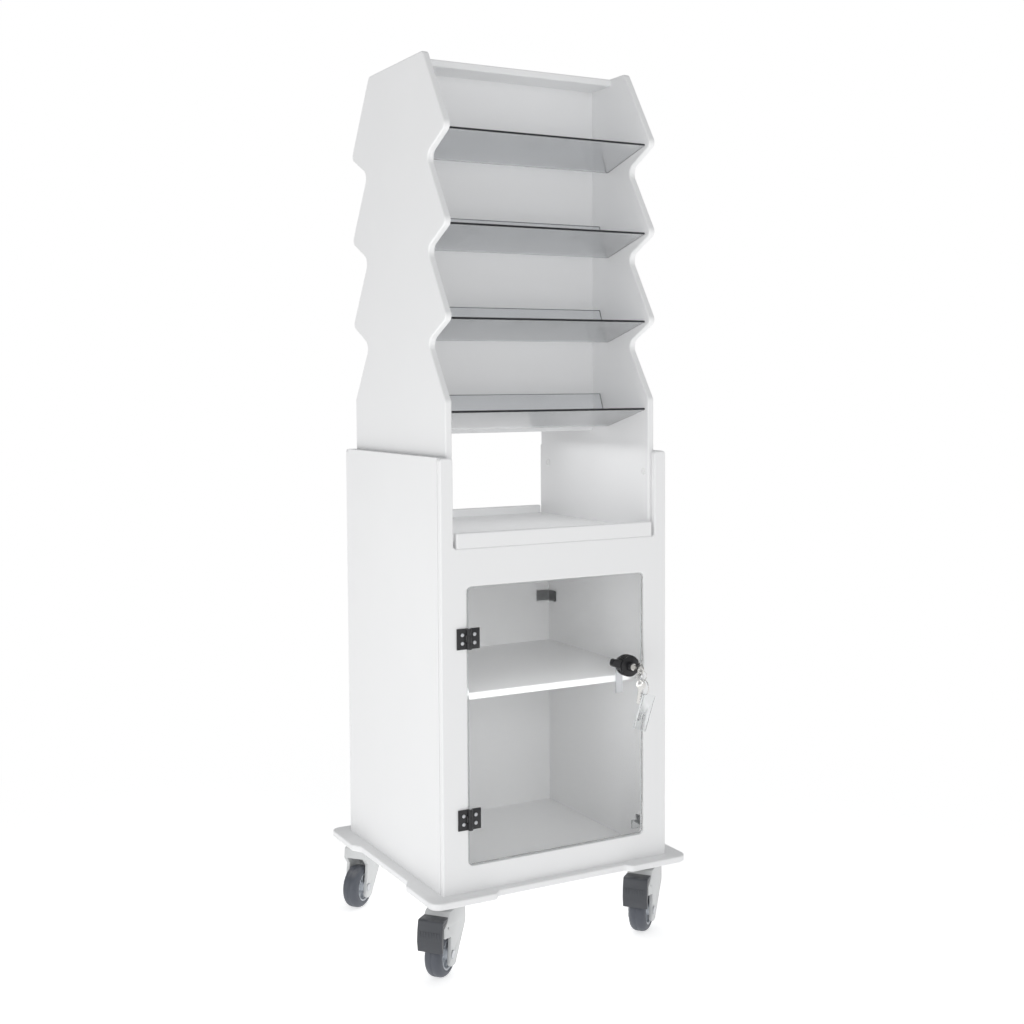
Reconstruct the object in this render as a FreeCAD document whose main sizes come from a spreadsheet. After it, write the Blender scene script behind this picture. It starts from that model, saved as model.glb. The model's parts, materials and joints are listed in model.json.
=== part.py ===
import FreeCAD, Part
import math
import os
import re
import Sketcher

# Brochure rack on casters: a lockable cabinet with a tray on top of it, and a
# double-sided rack of four clear shelves each way standing in the tray.
# Frame: X to the right, Y to the rear, Z up, floor at Z = 0, sizes in mm and degrees.

SIZES = (
    ("board", 12.7, "thickness of every white sheet"),
    ("shift_right", 7.1, "cabinet middle right of the origin"),
    ("shift_back", 21.5, "cabinet middle behind the origin"),
    ("edge_round", 2.8, "rounded edge of the white sheets"),
    ("floor_gap", 123.3, "floor to underside of base plate"),
    ("base_over_side", 32, "base plate beyond the cabinet at each side"),
    ("base_over_front", 26.75, "base plate beyond the cabinet at front and rear"),
    ("nip_side_deep", 12, "shallow recess in each side of the base plate"),
    ("nip_front_deep", 12.5, "shallow recess in front and rear of the base plate"),
    ("nip_side_half", 105, "half length of the side recess"),
    ("nip_side_run", 20, "length of the side recess slope"),
    ("nip_front_half", 131, "half length of the front recess"),
    ("nip_front_run", 9, "length of the front recess slope"),
    ("ear_round", 19, "outer corners of the base plate"),
    ("nip_round", 8, "corners of the recess slopes"),
    ("cabinet_wide", 460, "cabinet over both sides"),
    ("cabinet_deep", 422.5, "cabinet over front and rear panels"),
    ("cabinet_tall", 753, "base plate to top of corner posts"),
    ("post_wide", 24.5, "corner post width"),
    ("post_round", 6, "corners of the post tops"),
    ("cut_round", 5.8, "lower corners of the opening between the posts"),
    ("stile_wide", 49.3, "front panel each side of the window"),
    ("window_sill", 46.1, "base plate to bottom of window"),
    ("window_drop", 221.4, "cabinet top to head of window"),
    ("window_round", 9, "window corners"),
    ("store_top", 340, "base plate to top of inner shelf"),
    ("store_setback", 35.25, "cabinet front to front of inner shelf"),
    ("tray_drop", 144, "cabinet top to tray floor"),
    ("sill_drop", 11, "tray floor to bottom of the opening"),
    ("lip_rise", 15.5, "tray lip above the tray floor"),
    ("lip_gap", 5.9, "groove between lip and post"),
    ("rack_gap", 4.6, "rack side to cabinet side"),
    ("rack_tall", 841, "tray floor to top of rack side"),
    ("foot_inset", 0.55, "rack side inside the front panel"),
    ("shoulder_drop", 601, "rack top to shoulder of the side"),
    ("nose_inset", 4.25, "shelf nose behind the cabinet front"),
    ("nose_depth", 77, "nose to valley of the side outline"),
    ("crest_depth", 89, "nose to top corner of the side outline"),
    ("nose_drop", 141, "rack top to first nose"),
    ("valley_drop", 179, "rack top to first valley"),
    ("tier_pitch", 160, "height of one tier"),
    ("nose_round", 12, "noses of the side outline"),
    ("valley_round", 16, "valleys of the side outline"),
    ("crest_round", 11, "top corners of the side outline"),
    ("divider_drop", 664, "rack top to foot of divider"),
    ("cap_deep", 144, "top plate front to rear"),
    ("cap_drop", 1, "top plate below the sides"),
    ("shelf_drop", 137.7, "rack top to first shelf edge"),
    ("shelf_inset", 20.4, "shelf edge behind the nose"),
    ("bend_off", 57, "shelf bend from the middle plane"),
    ("shelf_fall", 14.7, "slope of the shelf"),
    ("rest_lean", 21.8, "back rest from vertical"),
    ("rest_run", 64.6, "length of the back rest"),
    ("sheet", 4, "thickness of the clear shelves"),
    ("bend_round", 6, "inner radius of the shelf bend"),
    ("fix_radius", 6, "cap and spacer radius"),
    ("fix_thick", 1.6, "cap thickness"),
    ("fix_up", 106, "cap above the tray floor"),
    ("fix_front", 183, "front cap from the middle plane"),
    ("fix_rear", 169, "rear cap from the middle plane"),
    ("tab_long", 30, "corner bracket leg"),
    ("tab_thick", 3, "corner bracket thickness"),
    ("tab_tall", 22, "corner bracket height"),
    ("tab_up", 424, "base plate to corner bracket"),
    ("door_thick", 6, "clear door"),
    ("door_gap", 2, "gap round the door"),
    ("door_round", 7, "door corners"),
    ("leaf_reach", 21.6, "hinge axis to edge of leaf"),
    ("leaf_thick", 2.5, "hinge leaf"),
    ("leaf_relief", 0.5, "leaf clear of the other knuckle"),
    ("hinge_tall", 36, "hinge height"),
    ("barrel", 4.5, "hinge knuckle radius"),
    ("barrel_gap", 0.3, "knuckle clear of the door face"),
    ("pin", 1.5, "hinge pin radius"),
    ("run_gap", 0.05, "running clearance"),
    ("knuckle_gap", 0.3, "gap between knuckles"),
    ("hinge_high", 442.7, "base plate to upper hinge"),
    ("hinge_low", 128.4, "base plate to lower hinge"),
    ("screw_side", 11.6, "hinge screws from the axis"),
    ("screw_rise", 7.25, "hinge screws from hinge middle"),
    ("screw_head", 3.3, "hinge screw head radius"),
    ("screw_top", 2.4, "hinge screw crown radius"),
    ("screw_deep", 1.3, "hinge screw head depth"),
    ("lock_inset", 44.7, "lock from the window edge"),
    ("lock_up", 367, "base plate to lock"),
    ("rose", 17, "lock rose radius"),
    ("rose_deep", 5, "lock rose depth"),
    ("sleeve", 9.5, "lock sleeve radius"),
    ("stem", 6, "knob stem radius"),
    ("knob", 19, "knob radius"),
    ("knob_deep", 19.4, "knob depth"),
    ("knob_gap", 0.35, "knob to rose"),
    ("snout", 9, "knob nose radius"),
    ("snout_deep", 10, "knob nose depth"),
    ("plug_deep", 24, "lock cylinder length"),
    ("wing_reach", 35.6, "lock axis to end of wing"),
    ("wing_thick", 14.5, "wing thickness"),
    ("wing_deep", 13, "wing front to rear"),
    ("wing_round", 5.5, "wing end corners"),
    ("wing_tilt", 14.6, "wing above level"),
    ("cam_long", 55, "lock axis to end of cam"),
    ("cam_wide", 14, "cam width"),
    ("cam_thick", 2, "cam thickness"),
    ("cam_gap", 1.05, "cam behind the front panel"),
    ("nut", 14, "lock nut radius over its corners"),
    ("nut_deep", 4, "lock nut thickness"),
    ("bow", 11.5, "lock key bow radius"),
    ("bow_thick", 3, "lock key bow thickness"),
    ("bow_out", 20.4, "knob nose to middle of the bow"),
    ("eye_out", 6.3, "bow middle to its hole"),
    ("eye", 3, "hole in the bow"),
    ("blade_thick", 2, "key blade thickness"),
    ("blade_tall", 7, "key blade height"),
    ("wire", 0.8, "split ring wire radius"),
    ("ring", 10.5, "key ring radius"),
    ("ring_rest", 1.5, "ring wire below the middle of the hole"),
    ("spare_side", 3.5, "spare key left of the ring middle"),
    ("spare_bow", 8.5, "spare key bow radius"),
    ("spare_thick", 2.2, "spare key thickness"),
    ("spare_eye", 3.2, "spare key hole radius"),
    ("spare_eye_up", 3.6, "spare key hole above bow middle"),
    ("spare_eye_side", 2.1, "spare key hole left of its middle"),
    ("spare_rest", 1, "ring wire above middle of the spare hole"),
    ("spare_long", 35.5, "spare key bow middle to tip"),
    ("spare_wide", 7, "spare key blade width"),
    ("spare_notch", 1.5, "spare key notch depth"),
    ("spare_turn", -50, "spare key turned about its length"),
    ("loop", 13.5, "tag ring radius"),
    ("loop_side", 5.5, "tag ring right of the key ring middle"),
    ("loop_rest", 2.4, "tag ring wire above the key ring wire"),
    ("tag_wide", 26, "key tag width"),
    ("tag_tall", 66, "key tag height"),
    ("tag_thick", 3, "key tag thickness"),
    ("tag_round", 2, "key tag corners"),
    ("tag_eye", 2, "key tag hole radius"),
    ("tag_rest", 0.8, "ring wire above middle of the tag hole"),
    ("tag_eye_side", 10.2, "key tag hole left of its middle"),
    ("tag_eye_drop", 4, "key tag hole below its top edge"),
    ("caster_in_side", 55.2, "swivel axis from the side of the base plate"),
    ("caster_in_front", 52.9, "swivel axis from the front of the base plate"),
    ("turn_near", -50, "front and rear-left casters about the vertical"),
    ("turn_far", 130, "rear-right caster about the vertical"),
    ("plate_side", 60, "caster plate length and width"),
    ("plate_thick", 3.5, "caster plate thickness"),
    ("bolt_off", 23, "caster screws from the swivel axis"),
    ("bolt_head", 4, "caster screw head radius"),
    ("bolt_deep", 1.8, "caster screw head depth"),
    ("king", 6, "swivel pin radius"),
    ("king_gap", 0.4, "swivel pin short of the base plate"),
    ("neck", 15, "swivel bearing radius"),
    ("neck_gap", 0.3, "bearing below the caster plate"),
    ("fork_top", 6.8, "base plate to top of fork"),
    ("fork_wide", 46, "fork over both cheeks"),
    ("slot_wide", 34, "space between the cheeks"),
    ("wheel", 40, "wheel radius"),
    ("wheel_wide", 32, "wheel width"),
    ("wheel_round", 11.5, "rounded shoulders of the tread"),
    ("hood_thick", 19.5, "thickness of the fork over the wheel"),
    ("trail", 38, "swivel axis to axle"),
    ("core", 28, "hub radius"),
    ("core_wide", 30, "hub width"),
    ("axle", 4, "axle radius"),
    ("axle_cap", 7.5, "axle head radius"),
    ("axle_cap_deep", 2, "axle head depth"),
    ("pivot_back", 56, "swivel axis to brake pivot"),
    ("pivot_down", 31, "base plate to brake pivot"),
    ("pivot", 2, "brake pivot radius"),
    ("bead", 4, "brake pedal root radius"),
    ("pedal_wide", 46, "brake pedal width"),
)

ALIASES = {name for name, number, note in SIZES}
NODES = []

doc = FreeCAD.newDocument("BrochureRack")
sheet = doc.addObject("Spreadsheet::Sheet", "Sizes")
for row, (name, number, note) in enumerate(SIZES, 1):
    sheet.set("A%d" % row, name)
    sheet.set("B%d" % row, str(number))
    sheet.set("C%d" % row, note)
    sheet.setAlias("B%d" % row, name)
doc.recompute()

# Shared positions, as expressions of the sheet.
DECK = "(floor_gap + board)"
FRONT = "(-cabinet_deep / 2)"
WALL = "(cabinet_wide / 2 - board)"
PANEL_BACK = "(-cabinet_deep / 2 + board)"
TRAY = "(floor_gap + board + cabinet_tall - tray_drop)"
RACK = "(cabinet_wide / 2 - 2 * board - rack_gap)"
RACK_TOP = "(floor_gap + board + cabinet_tall - tray_drop + rack_tall)"
NOSE = "(cabinet_deep / 2 - nose_inset)"
LEAD = "(cabinet_deep / 2 - nose_inset - shelf_inset)"
WINDOW = "(cabinet_wide / 2 - stile_wide)"
WINDOW_TOP = "(cabinet_tall - window_drop)"
HINGE_X = "(-(cabinet_wide / 2 - stile_wide) + door_gap / 2)"
HINGE_Y = "(-cabinet_deep / 2 - barrel - barrel_gap)"
LOCK_X = "(cabinet_wide / 2 - stile_wide - lock_inset)"
LOCK_Z = "(floor_gap + board + lock_up)"
KNOB_BACK = "(-cabinet_deep / 2 - rose_deep - knob_gap)"
KNOB_FRONT = "(-cabinet_deep / 2 - rose_deep - knob_gap - knob_deep)"
SNOUT_FRONT = "(-cabinet_deep / 2 - rose_deep - knob_gap - knob_deep - snout_deep)"
BOW_Y = SNOUT_FRONT[:-1] + " - bow_out)"
EYE_Y = SNOUT_FRONT[:-1] + " - bow_out - eye_out)"
RING_Z = "(floor_gap + board + lock_up - ring_rest - ring)"
SPARE_X = LOCK_X[:-1] + " - spare_side)"
SPARE_WIRE = RING_Z[:-1] + " - sqrt(ring * ring - spare_side * spare_side))"
LOOP_X = LOCK_X[:-1] + " + loop_side)"
LOOP_WIRE = RING_Z[:-1] + " - sqrt(ring * ring - loop_side * loop_side))"
LOOP_Z = LOOP_WIRE[:-1] + " + loop_rest - loop)"
CASTER_X = "(cabinet_wide / 2 + base_over_side - caster_in_side)"
CASTER_Y = "(cabinet_deep / 2 + base_over_front - caster_in_front)"


def E(text):
    """Spell every sheet alias in an expression out in full."""
    return re.sub(
        r"[a-z_][a-z_0-9]*",
        lambda hit: "Sizes." + hit.group(0) if hit.group(0) in ALIASES else hit.group(0),
        text,
    )


def node(made, label):
    """Give a finished sub-part its name and list it for export."""
    made.Label = label
    NODES.append(made)
    return made


def place(made, x="0", y="0", z="0"):
    """Bind the position of an object to the sheet."""
    made.setExpression("Placement.Base.x", E(x + " + shift_right"))
    made.setExpression("Placement.Base.y", E(y + " + shift_back"))
    made.setExpression("Placement.Base.z", E(z))
    return made


def turn(made, axis, angle):
    """Bind a turn about one axis to the sheet."""
    made.Placement = FreeCAD.Placement(FreeCAD.Vector(), FreeCAD.Rotation(FreeCAD.Vector(*axis), 1))
    made.setExpression("Placement.Rotation.Angle", E(angle))
    return made


# Part primitives and booleans

def block(name, x, y, z):
    """Box between a low and a high expression along each axis."""
    made = doc.addObject("Part::Box", name)
    made.setExpression("Length", E("(%s) - (%s)" % (x[1], x[0])))
    made.setExpression("Width", E("(%s) - (%s)" % (y[1], y[0])))
    made.setExpression("Height", E("(%s) - (%s)" % (z[1], z[0])))
    return place(made, x[0], y[0], z[0])


def aimed(made, axis, first, second, low):
    """Point a primitive's own Z along an axis and set it down from there."""
    if axis == "X":
        made.Placement = FreeCAD.Placement(FreeCAD.Vector(), FreeCAD.Rotation(FreeCAD.Vector(0, 1, 0), 90))
        return place(made, low, first, second)
    if axis == "Y":
        made.Placement = FreeCAD.Placement(FreeCAD.Vector(), FreeCAD.Rotation(FreeCAD.Vector(1, 0, 0), -90))
        return place(made, first, low, second)
    return place(made, first, second, low)


def rod(name, axis, radius, first, second, low, high):
    """Cylinder along an axis, from low to high, at the two other coordinates."""
    made = doc.addObject("Part::Cylinder", name)
    made.setExpression("Radius", E(radius))
    made.setExpression("Height", E("(%s) - (%s)" % (high, low)))
    return aimed(made, axis, first, second, low)


def dome(name, axis, low_radius, high_radius, first, second, low, high):
    """Cone frustum along an axis, for screw heads."""
    made = doc.addObject("Part::Cone", name)
    made.setExpression("Radius1", E(low_radius))
    made.setExpression("Radius2", E(high_radius))
    made.setExpression("Height", E("(%s) - (%s)" % (high, low)))
    return aimed(made, axis, first, second, low)


def hoop(name, axis, radius, thick, x, y, z):
    """Ring of round wire about an axis."""
    made = doc.addObject("Part::Torus", name)
    made.setExpression("Radius1", E(radius))
    made.setExpression("Radius2", E(thick))
    coordinates = {"X": (y, z, x), "Y": (x, z, y)}[axis]
    return aimed(made, axis, *coordinates)


def join(name, shapes):
    made = doc.addObject("Part::MultiFuse", name)
    made.Shapes = shapes
    return made


def cut(name, base, tool):
    made = doc.addObject("Part::Cut", name)
    made.Base = base
    made.Tool = tool
    return made


def gather(name, shapes):
    made = doc.addObject("Part::Compound", name)
    made.Links = shapes
    return made


# PartDesign bodies

def body(name):
    return doc.addObject("PartDesign::Body", name)


def sketch_on(made, name, role):
    """Empty sketch on one of the body's own planes."""
    sketch = made.newObject("Sketcher::SketchObject", name)
    plane = [item for item in made.Origin.OriginFeatures if item.Role == role][0]
    sketch.AttachmentSupport = [(plane, "")]
    sketch.MapMode = "FlatFace"
    return sketch


def bound(sketch, kind, geometry, point, expression):
    """Signed distance from the sketch origin, worked out from the sheet."""
    number = sketch.addConstraint(Sketcher.Constraint(kind, -1, 1, geometry, point, 1.0))
    sketch.setExpression("Constraints[%d]" % number, E(expression))


def outline(sketch, corners):
    """Closed straight-sided outline through corners given as expressions."""
    count = len(corners)
    start = len(sketch.Geometry)
    points = []
    for index in range(count):
        angle = 2 * math.pi * index / count
        points.append(FreeCAD.Vector(100 * math.cos(angle), 100 * math.sin(angle), 0))
    for index in range(count):
        sketch.addGeometry(Part.LineSegment(points[index], points[(index + 1) % count]))
    for index in range(count):
        following = start + (index + 1) % count
        sketch.addConstraint(Sketcher.Constraint("Coincident", start + index, 2, following, 1))
    for index, (across, up) in enumerate(corners):
        bound(sketch, "DistanceX", start + index, 1, across)
        bound(sketch, "DistanceY", start + index, 1, up)
    doc.recompute()
    return sketch


def circle(sketch, across, up, radius):
    """Circle with its middle and radius bound to the sheet."""
    number = sketch.addGeometry(Part.Circle(FreeCAD.Vector(1, 1, 0), FreeCAD.Vector(0, 0, 1), 1))
    bound(sketch, "DistanceX", number, 3, across)
    bound(sketch, "DistanceY", number, 3, up)
    constraint = sketch.addConstraint(Sketcher.Constraint("Radius", number, 1.0))
    sketch.setExpression("Constraints[%d]" % constraint, E(radius))
    doc.recompute()
    return sketch


def pad(made, name, sketch, length):
    """Solid drawn out evenly to both sides of the sketch."""
    feature = made.newObject("PartDesign::Pad", name)
    feature.Profile = sketch
    feature.Midplane = True
    feature.setExpression("Length", E(length))
    sketch.Visibility = False
    doc.recompute()
    return feature


def pocket(made, name, sketch, length):
    """Material taken away evenly to both sides of the sketch."""
    feature = made.newObject("PartDesign::Pocket", name)
    feature.Profile = sketch
    feature.Midplane = True
    feature.setExpression("Length", E(length))
    sketch.Visibility = False
    doc.recompute()
    return feature


def spin(made, name, sketch, axis):
    """Solid turned once about an axis of the sketch."""
    feature = made.newObject("PartDesign::Revolution", name)
    feature.Profile = sketch
    feature.ReferenceAxis = (sketch, [axis])
    feature.Angle = 360
    sketch.Visibility = False
    doc.recompute()
    return feature


def fillet(made, name, base, names, radius):
    feature = made.newObject("PartDesign::Fillet", name)
    feature.Base = (base, names)
    feature.setExpression("Radius", E(radius))
    doc.recompute()
    return feature


def corner_fillet(made, name, base, sketch, corners, radius):
    """Round the edges that run through the listed corners of the outline."""
    normal = sketch.Placement.Rotation.multVec(FreeCAD.Vector(0, 0, 1))
    places = [sketch.Placement.multVec(sketch.Geometry[corner].StartPoint) for corner in corners]
    names = []
    for number, edge in enumerate(base.Shape.Edges, 1):
        if edge.Curve.TypeId != "Part::GeomLine":
            continue
        if abs(abs(edge.tangentAt(edge.FirstParameter).dot(normal)) - 1) > 1e-6:
            continue
        for point in places:
            gap = edge.CenterOfMass - point
            if (gap - normal * gap.dot(normal)).Length < 0.01:
                names.append("Edge%d" % number)
    return fillet(made, name, base, names, radius)


def face_fillet(made, name, base, axis, radius, keep):
    """Round the edges that lie in the faces square to an axis, where keep(middle) is true."""
    names = []
    for number, edge in enumerate(base.Shape.Edges, 1):
        box = edge.BoundBox
        spread = {"X": box.XLength, "Y": box.YLength, "Z": box.ZLength}[axis]
        if spread < 1e-4 and keep(edge.CenterOfMass):
            names.append("Edge%d" % number)
    return fillet(made, name, base, names, radius)


# Base plate and cabinet

def base_plate():
    made = body("BasePlate")
    sketch = sketch_on(made, "BaseOutline", "XY_Plane")
    half_x = "(cabinet_wide / 2 + base_over_side)"
    half_y = "(cabinet_deep / 2 + base_over_front)"
    quarter = (
        (half_x + " - nip_side_deep", "nip_side_half"),
        (half_x, "nip_side_half + nip_side_run"),
        (half_x, half_y),
        ("nip_front_half + nip_front_run", half_y),
        ("nip_front_half", half_y + " - nip_front_deep"),
    )
    corners = [(x, y) for x, y in quarter]
    corners += [("-(%s)" % x, y) for x, y in reversed(quarter)]
    corners += [("-(%s)" % x, "-(%s)" % y) for x, y in quarter]
    corners += [(x, "-(%s)" % y) for x, y in reversed(quarter)]
    outline(sketch, corners)
    solid = pad(made, "BasePad", sketch, "board")
    solid = corner_fillet(made, "BaseEars", solid, sketch, (2, 7, 12, 17), "ear_round")
    steps = [index for index in range(20) if index not in (2, 7, 12, 17)]
    solid = corner_fillet(made, "BaseSteps", solid, sketch, steps, "nip_round")
    face_fillet(made, "BaseEdges", solid, "Z", "edge_round", lambda middle: True)
    node(place(made, "0", "0", "floor_gap + board / 2"), "base_plate")


def cabinet_side(label, low, high):
    made = block("Block_" + label, (low, high), (PANEL_BACK, "-" + PANEL_BACK), (DECK, DECK + " + cabinet_tall"))
    node(made, label)


def end_panel(label, y, front, windowed):
    """Front or rear panel with its two corner posts; front is -1 or 1 along Y."""
    made = body("Panel_" + label)
    sketch = sketch_on(made, "Outline_" + label, "XZ_Plane")
    half = "cabinet_wide / 2"
    post = "cabinet_wide / 2 - post_wide"
    sill = "cabinet_tall - tray_drop - sill_drop"
    right = ((half, "0"), (half, "cabinet_tall"), (post, "cabinet_tall"), (post, sill))
    corners = list(right) + [("-(%s)" % x, z) for x, z in reversed(right)]
    outline(sketch, corners)
    solid = pad(made, "Pad_" + label, sketch, "board")
    if windowed:
        opening = sketch_on(made, "Window_" + label, "XZ_Plane")
        edges = (("-" + WINDOW, "window_sill"), (WINDOW, "window_sill"),
                 (WINDOW, WINDOW_TOP), ("-" + WINDOW, WINDOW_TOP))
        outline(opening, edges)
        solid = pocket(made, "WindowCut_" + label, opening, "board + 2")
        solid = corner_fillet(made, "WindowCorners_" + label, solid, opening, (0, 1, 2, 3), "window_round")
    solid = corner_fillet(made, "SillCorners_" + label, solid, sketch, (3, 4), "cut_round")
    solid = corner_fillet(made, "PostTops_" + label, solid, sketch, (1, 2, 5, 6), "post_round")
    window_top = sheet.cabinet_tall - sheet.window_drop
    outer = lambda middle: middle.z > 0.5 and (middle.y * front > 0 or middle.z > window_top + 1)
    face_fillet(made, "Edges_" + label, solid, "Y", "edge_round", outer)
    node(place(made, "0", y, DECK), label)


def cabinet_shelf():
    made = body("StoreShelf")
    sketch = sketch_on(made, "StoreProfile", "YZ_Plane")
    front = "-cabinet_deep / 2 + store_setback"
    outline(sketch, ((front, "-board"), ("-" + PANEL_BACK, "-board"), ("-" + PANEL_BACK, "0"), (front, "0")))
    solid = pad(made, "StorePad", sketch, "2 * " + WALL)
    corner_fillet(made, "StoreEdges", solid, sketch, (0, 3), "edge_round")
    node(place(made, "0", "0", DECK + " + store_top"), "cabinet_shelf")


def corner_brackets():
    """Two clear angle pieces in the rear corners and one low on the right-hand side."""
    low = DECK + " + tab_up"
    high = DECK + " + tab_up + tab_tall"
    back = "-" + PANEL_BACK
    pieces = []
    for name, wall, inward in (("Left", "-" + WALL, "1"), ("Right", WALL, "-1")):
        edge = "%s + %s * tab_long" % (wall, inward)
        skin = "%s + %s * tab_thick" % (wall, inward)
        across = (wall, edge) if inward == "1" else (edge, wall)
        along = (wall, skin) if inward == "1" else (skin, wall)
        wing = block("TabAcross" + name, across, (back + " - tab_thick", back), (low, high))
        leg = block("TabAlong" + name, along, (back + " - tab_long", back), (low, high))
        pieces.append(join("Tab" + name, [wing, leg]))
    low = DECK + " + window_sill - 6"
    high = DECK + " + window_sill + 10"
    near = FRONT + " + 49"
    face = block("CatchFace", (WALL + " - tab_long", WALL), (near, near + " + tab_thick"), (low, high))
    side = block("CatchSide", (WALL + " - tab_thick", WALL), (near, near + " + tab_long"), (low, high))
    pieces.append(join("Catch", [face, side]))
    node(gather("Brackets", pieces), "corner_brackets")


# Tray and rack

def tray_floor():
    made = block("TrayFloor", ("-" + WALL, WALL), (PANEL_BACK, "-" + PANEL_BACK), (TRAY + " - board", TRAY))
    node(made, "tray_floor")


def tray_lip(label, y):
    made = body("Lip_" + label)
    sketch = sketch_on(made, "LipOutline_" + label, "XZ_Plane")
    half = "cabinet_wide / 2 - post_wide - lip_gap"
    outline(sketch, (("-(%s)" % half, "-sill_drop"), (half, "-sill_drop"), (half, "lip_rise"), ("-(%s)" % half, "lip_rise")))
    solid = pad(made, "LipPad_" + label, sketch, "board")
    solid = corner_fillet(made, "LipEnds_" + label, solid, sketch, (2, 3), "edge_round")
    face_fillet(made, "LipEdges_" + label, solid, "Y", "edge_round", lambda middle: middle.z > -sheet.sill_drop + 0.5)
    node(place(made, "0", y, TRAY), label)


def rack_side(label, x):
    made = body("Side_" + label)
    sketch = sketch_on(made, "SideOutline_" + label, "YZ_Plane")
    valley = NOSE + " - nose_depth"
    right = [("cabinet_deep / 2 - board - foot_inset", "-rack_tall"),
             ("cabinet_deep / 2 - board - foot_inset", "-shoulder_drop")]
    for tier in (2, 1, 0):
        right.append((valley, "-valley_drop - %d * tier_pitch" % tier))
        right.append((NOSE, "-nose_drop - %d * tier_pitch" % tier))
    right.append((NOSE + " - crest_depth", "0"))
    corners = right + [("-(%s)" % y, z) for y, z in reversed(right)]
    outline(sketch, corners)
    solid = pad(made, "SidePad_" + label, sketch, "board")
    solid = corner_fillet(made, "Noses_" + label, solid, sketch, (1, 3, 5, 7, 10, 12, 14, 16), "nose_round")
    solid = corner_fillet(made, "Valleys_" + label, solid, sketch, (2, 4, 6, 11, 13, 15), "valley_round")
    solid = corner_fillet(made, "Crest_" + label, solid, sketch, (8, 9), "crest_round")
    foot = -sheet.rack_tall + 0.5
    face_fillet(made, "SideEdges_" + label, solid, "X", "edge_round", lambda middle: middle.z > foot)
    node(place(made, x, "0", RACK_TOP), label)


def centre_divider():
    top = RACK_TOP + " - cap_drop - board"
    made = block("Divider", ("-" + RACK, RACK), ("-board / 2", "board / 2"), (RACK_TOP + " - divider_drop", top))
    node(made, "centre_divider")


def top_plate():
    made = body("TopPlate")
    sketch = sketch_on(made, "TopProfile", "YZ_Plane")
    outline(sketch, (("-cap_deep / 2", "-board"), ("cap_deep / 2", "-board"), ("cap_deep / 2", "0"), ("-cap_deep / 2", "0")))
    solid = pad(made, "TopPad", sketch, "2 * " + RACK)
    corner_fillet(made, "TopEdges", solid, sketch, (0, 1, 2, 3), "edge_round")
    node(place(made, "0", "0", RACK_TOP + " - cap_drop"), "top_plate")


def brochure_shelf(label, tier, rear):
    """Clear sheet that slopes down to a bend and rises again as a leaning back rest."""
    made = body("Shelf_" + label)
    sketch = sketch_on(made, "ShelfProfile_" + label, "YZ_Plane")
    bend = ("-bend_off", "-(%s - bend_off) * tan(shelf_fall)" % LEAD)
    tip = ("-bend_off + rest_run * sin(rest_lean)", bend[1] + " + rest_run * cos(rest_lean)")
    share = "sheet / (1 + sin(rest_lean - shelf_fall))"
    corners = (
        ("-" + LEAD, "0"),
        bend,
        tip,
        (tip[0] + " + sheet * cos(rest_lean)", tip[1] + " - sheet * sin(rest_lean)"),
        (bend[0] + " + %s * (cos(rest_lean) - sin(shelf_fall))" % share,
         bend[1] + " - %s * (cos(shelf_fall) + sin(rest_lean))" % share),
        ("-%s - sheet * sin(shelf_fall)" % LEAD, "-sheet * cos(shelf_fall)"),
    )
    outline(sketch, corners)
    solid = pad(made, "ShelfPad_" + label, sketch, "2 * " + RACK)
    solid = corner_fillet(made, "BendInner_" + label, solid, sketch, (1,), "bend_round")
    solid = corner_fillet(made, "BendOuter_" + label, solid, sketch, (4,), "bend_round + sheet")
    corner_fillet(made, "ShelfEdges_" + label, solid, sketch, (0, 2, 3, 5), "sheet / 5")
    turn(made, (0, 0, 1), "180" if rear else "0")
    node(place(made, "0", "0", RACK_TOP + " - shelf_drop - %d * tier_pitch" % tier), label)


def screw_caps():
    """Caps on the inner faces of the rack sides, with the spacers behind the sides."""
    pieces = []
    up = TRAY + " + fix_up"
    for side, sign in (("Left", "-"), ("Right", "")):
        for place_name, y in (("Front", "-fix_front"), ("Rear", "fix_rear")):
            inner = sorted((sign + "1", sign + "0"), key=float)
            cap = (RACK + " - fix_thick", RACK) if inner[1] == "1" else ("-" + RACK, "-" + RACK + " + fix_thick")
            gap = (RACK + " + board", WALL) if inner[1] == "1" else ("-" + WALL, "-" + RACK + " - board")
            pieces.append(rod("Cap%s%s" % (side, place_name), "X", "fix_radius", y, up, *cap))
            pieces.append(rod("Spacer%s%s" % (side, place_name), "X", "fix_radius", y, up, *gap))
    node(gather("Fixings", pieces), "screw_caps")


# Door and hinges

def door_panel():
    made = body("Door")
    sketch = sketch_on(made, "DoorOutline", "XZ_Plane")
    half = WINDOW + " - door_gap"
    low = "window_sill + door_gap"
    high = WINDOW_TOP + " - door_gap"
    outline(sketch, (("-(%s)" % half, low), (half, low), (half, high), ("-(%s)" % half, high)))
    solid = pad(made, "DoorPad", sketch, "door_thick")
    hole = circle(sketch_on(made, "DoorHole", "XZ_Plane"), LOCK_X, "lock_up", "sleeve")
    solid = pocket(made, "DoorHoleCut", hole, "door_thick + 2")
    solid = corner_fillet(made, "DoorCorners", solid, sketch, (0, 1, 2, 3), "door_round")
    rim = lambda middle: abs(middle.x - (sheet.cabinet_wide / 2 - sheet.stile_wide - sheet.lock_inset)) > sheet.sleeve
    face_fillet(made, "DoorEdges", solid, "Y", "door_thick / 8", rim)
    node(place(made, "0", FRONT + " + door_thick / 2", DECK), "door_panel")


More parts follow.
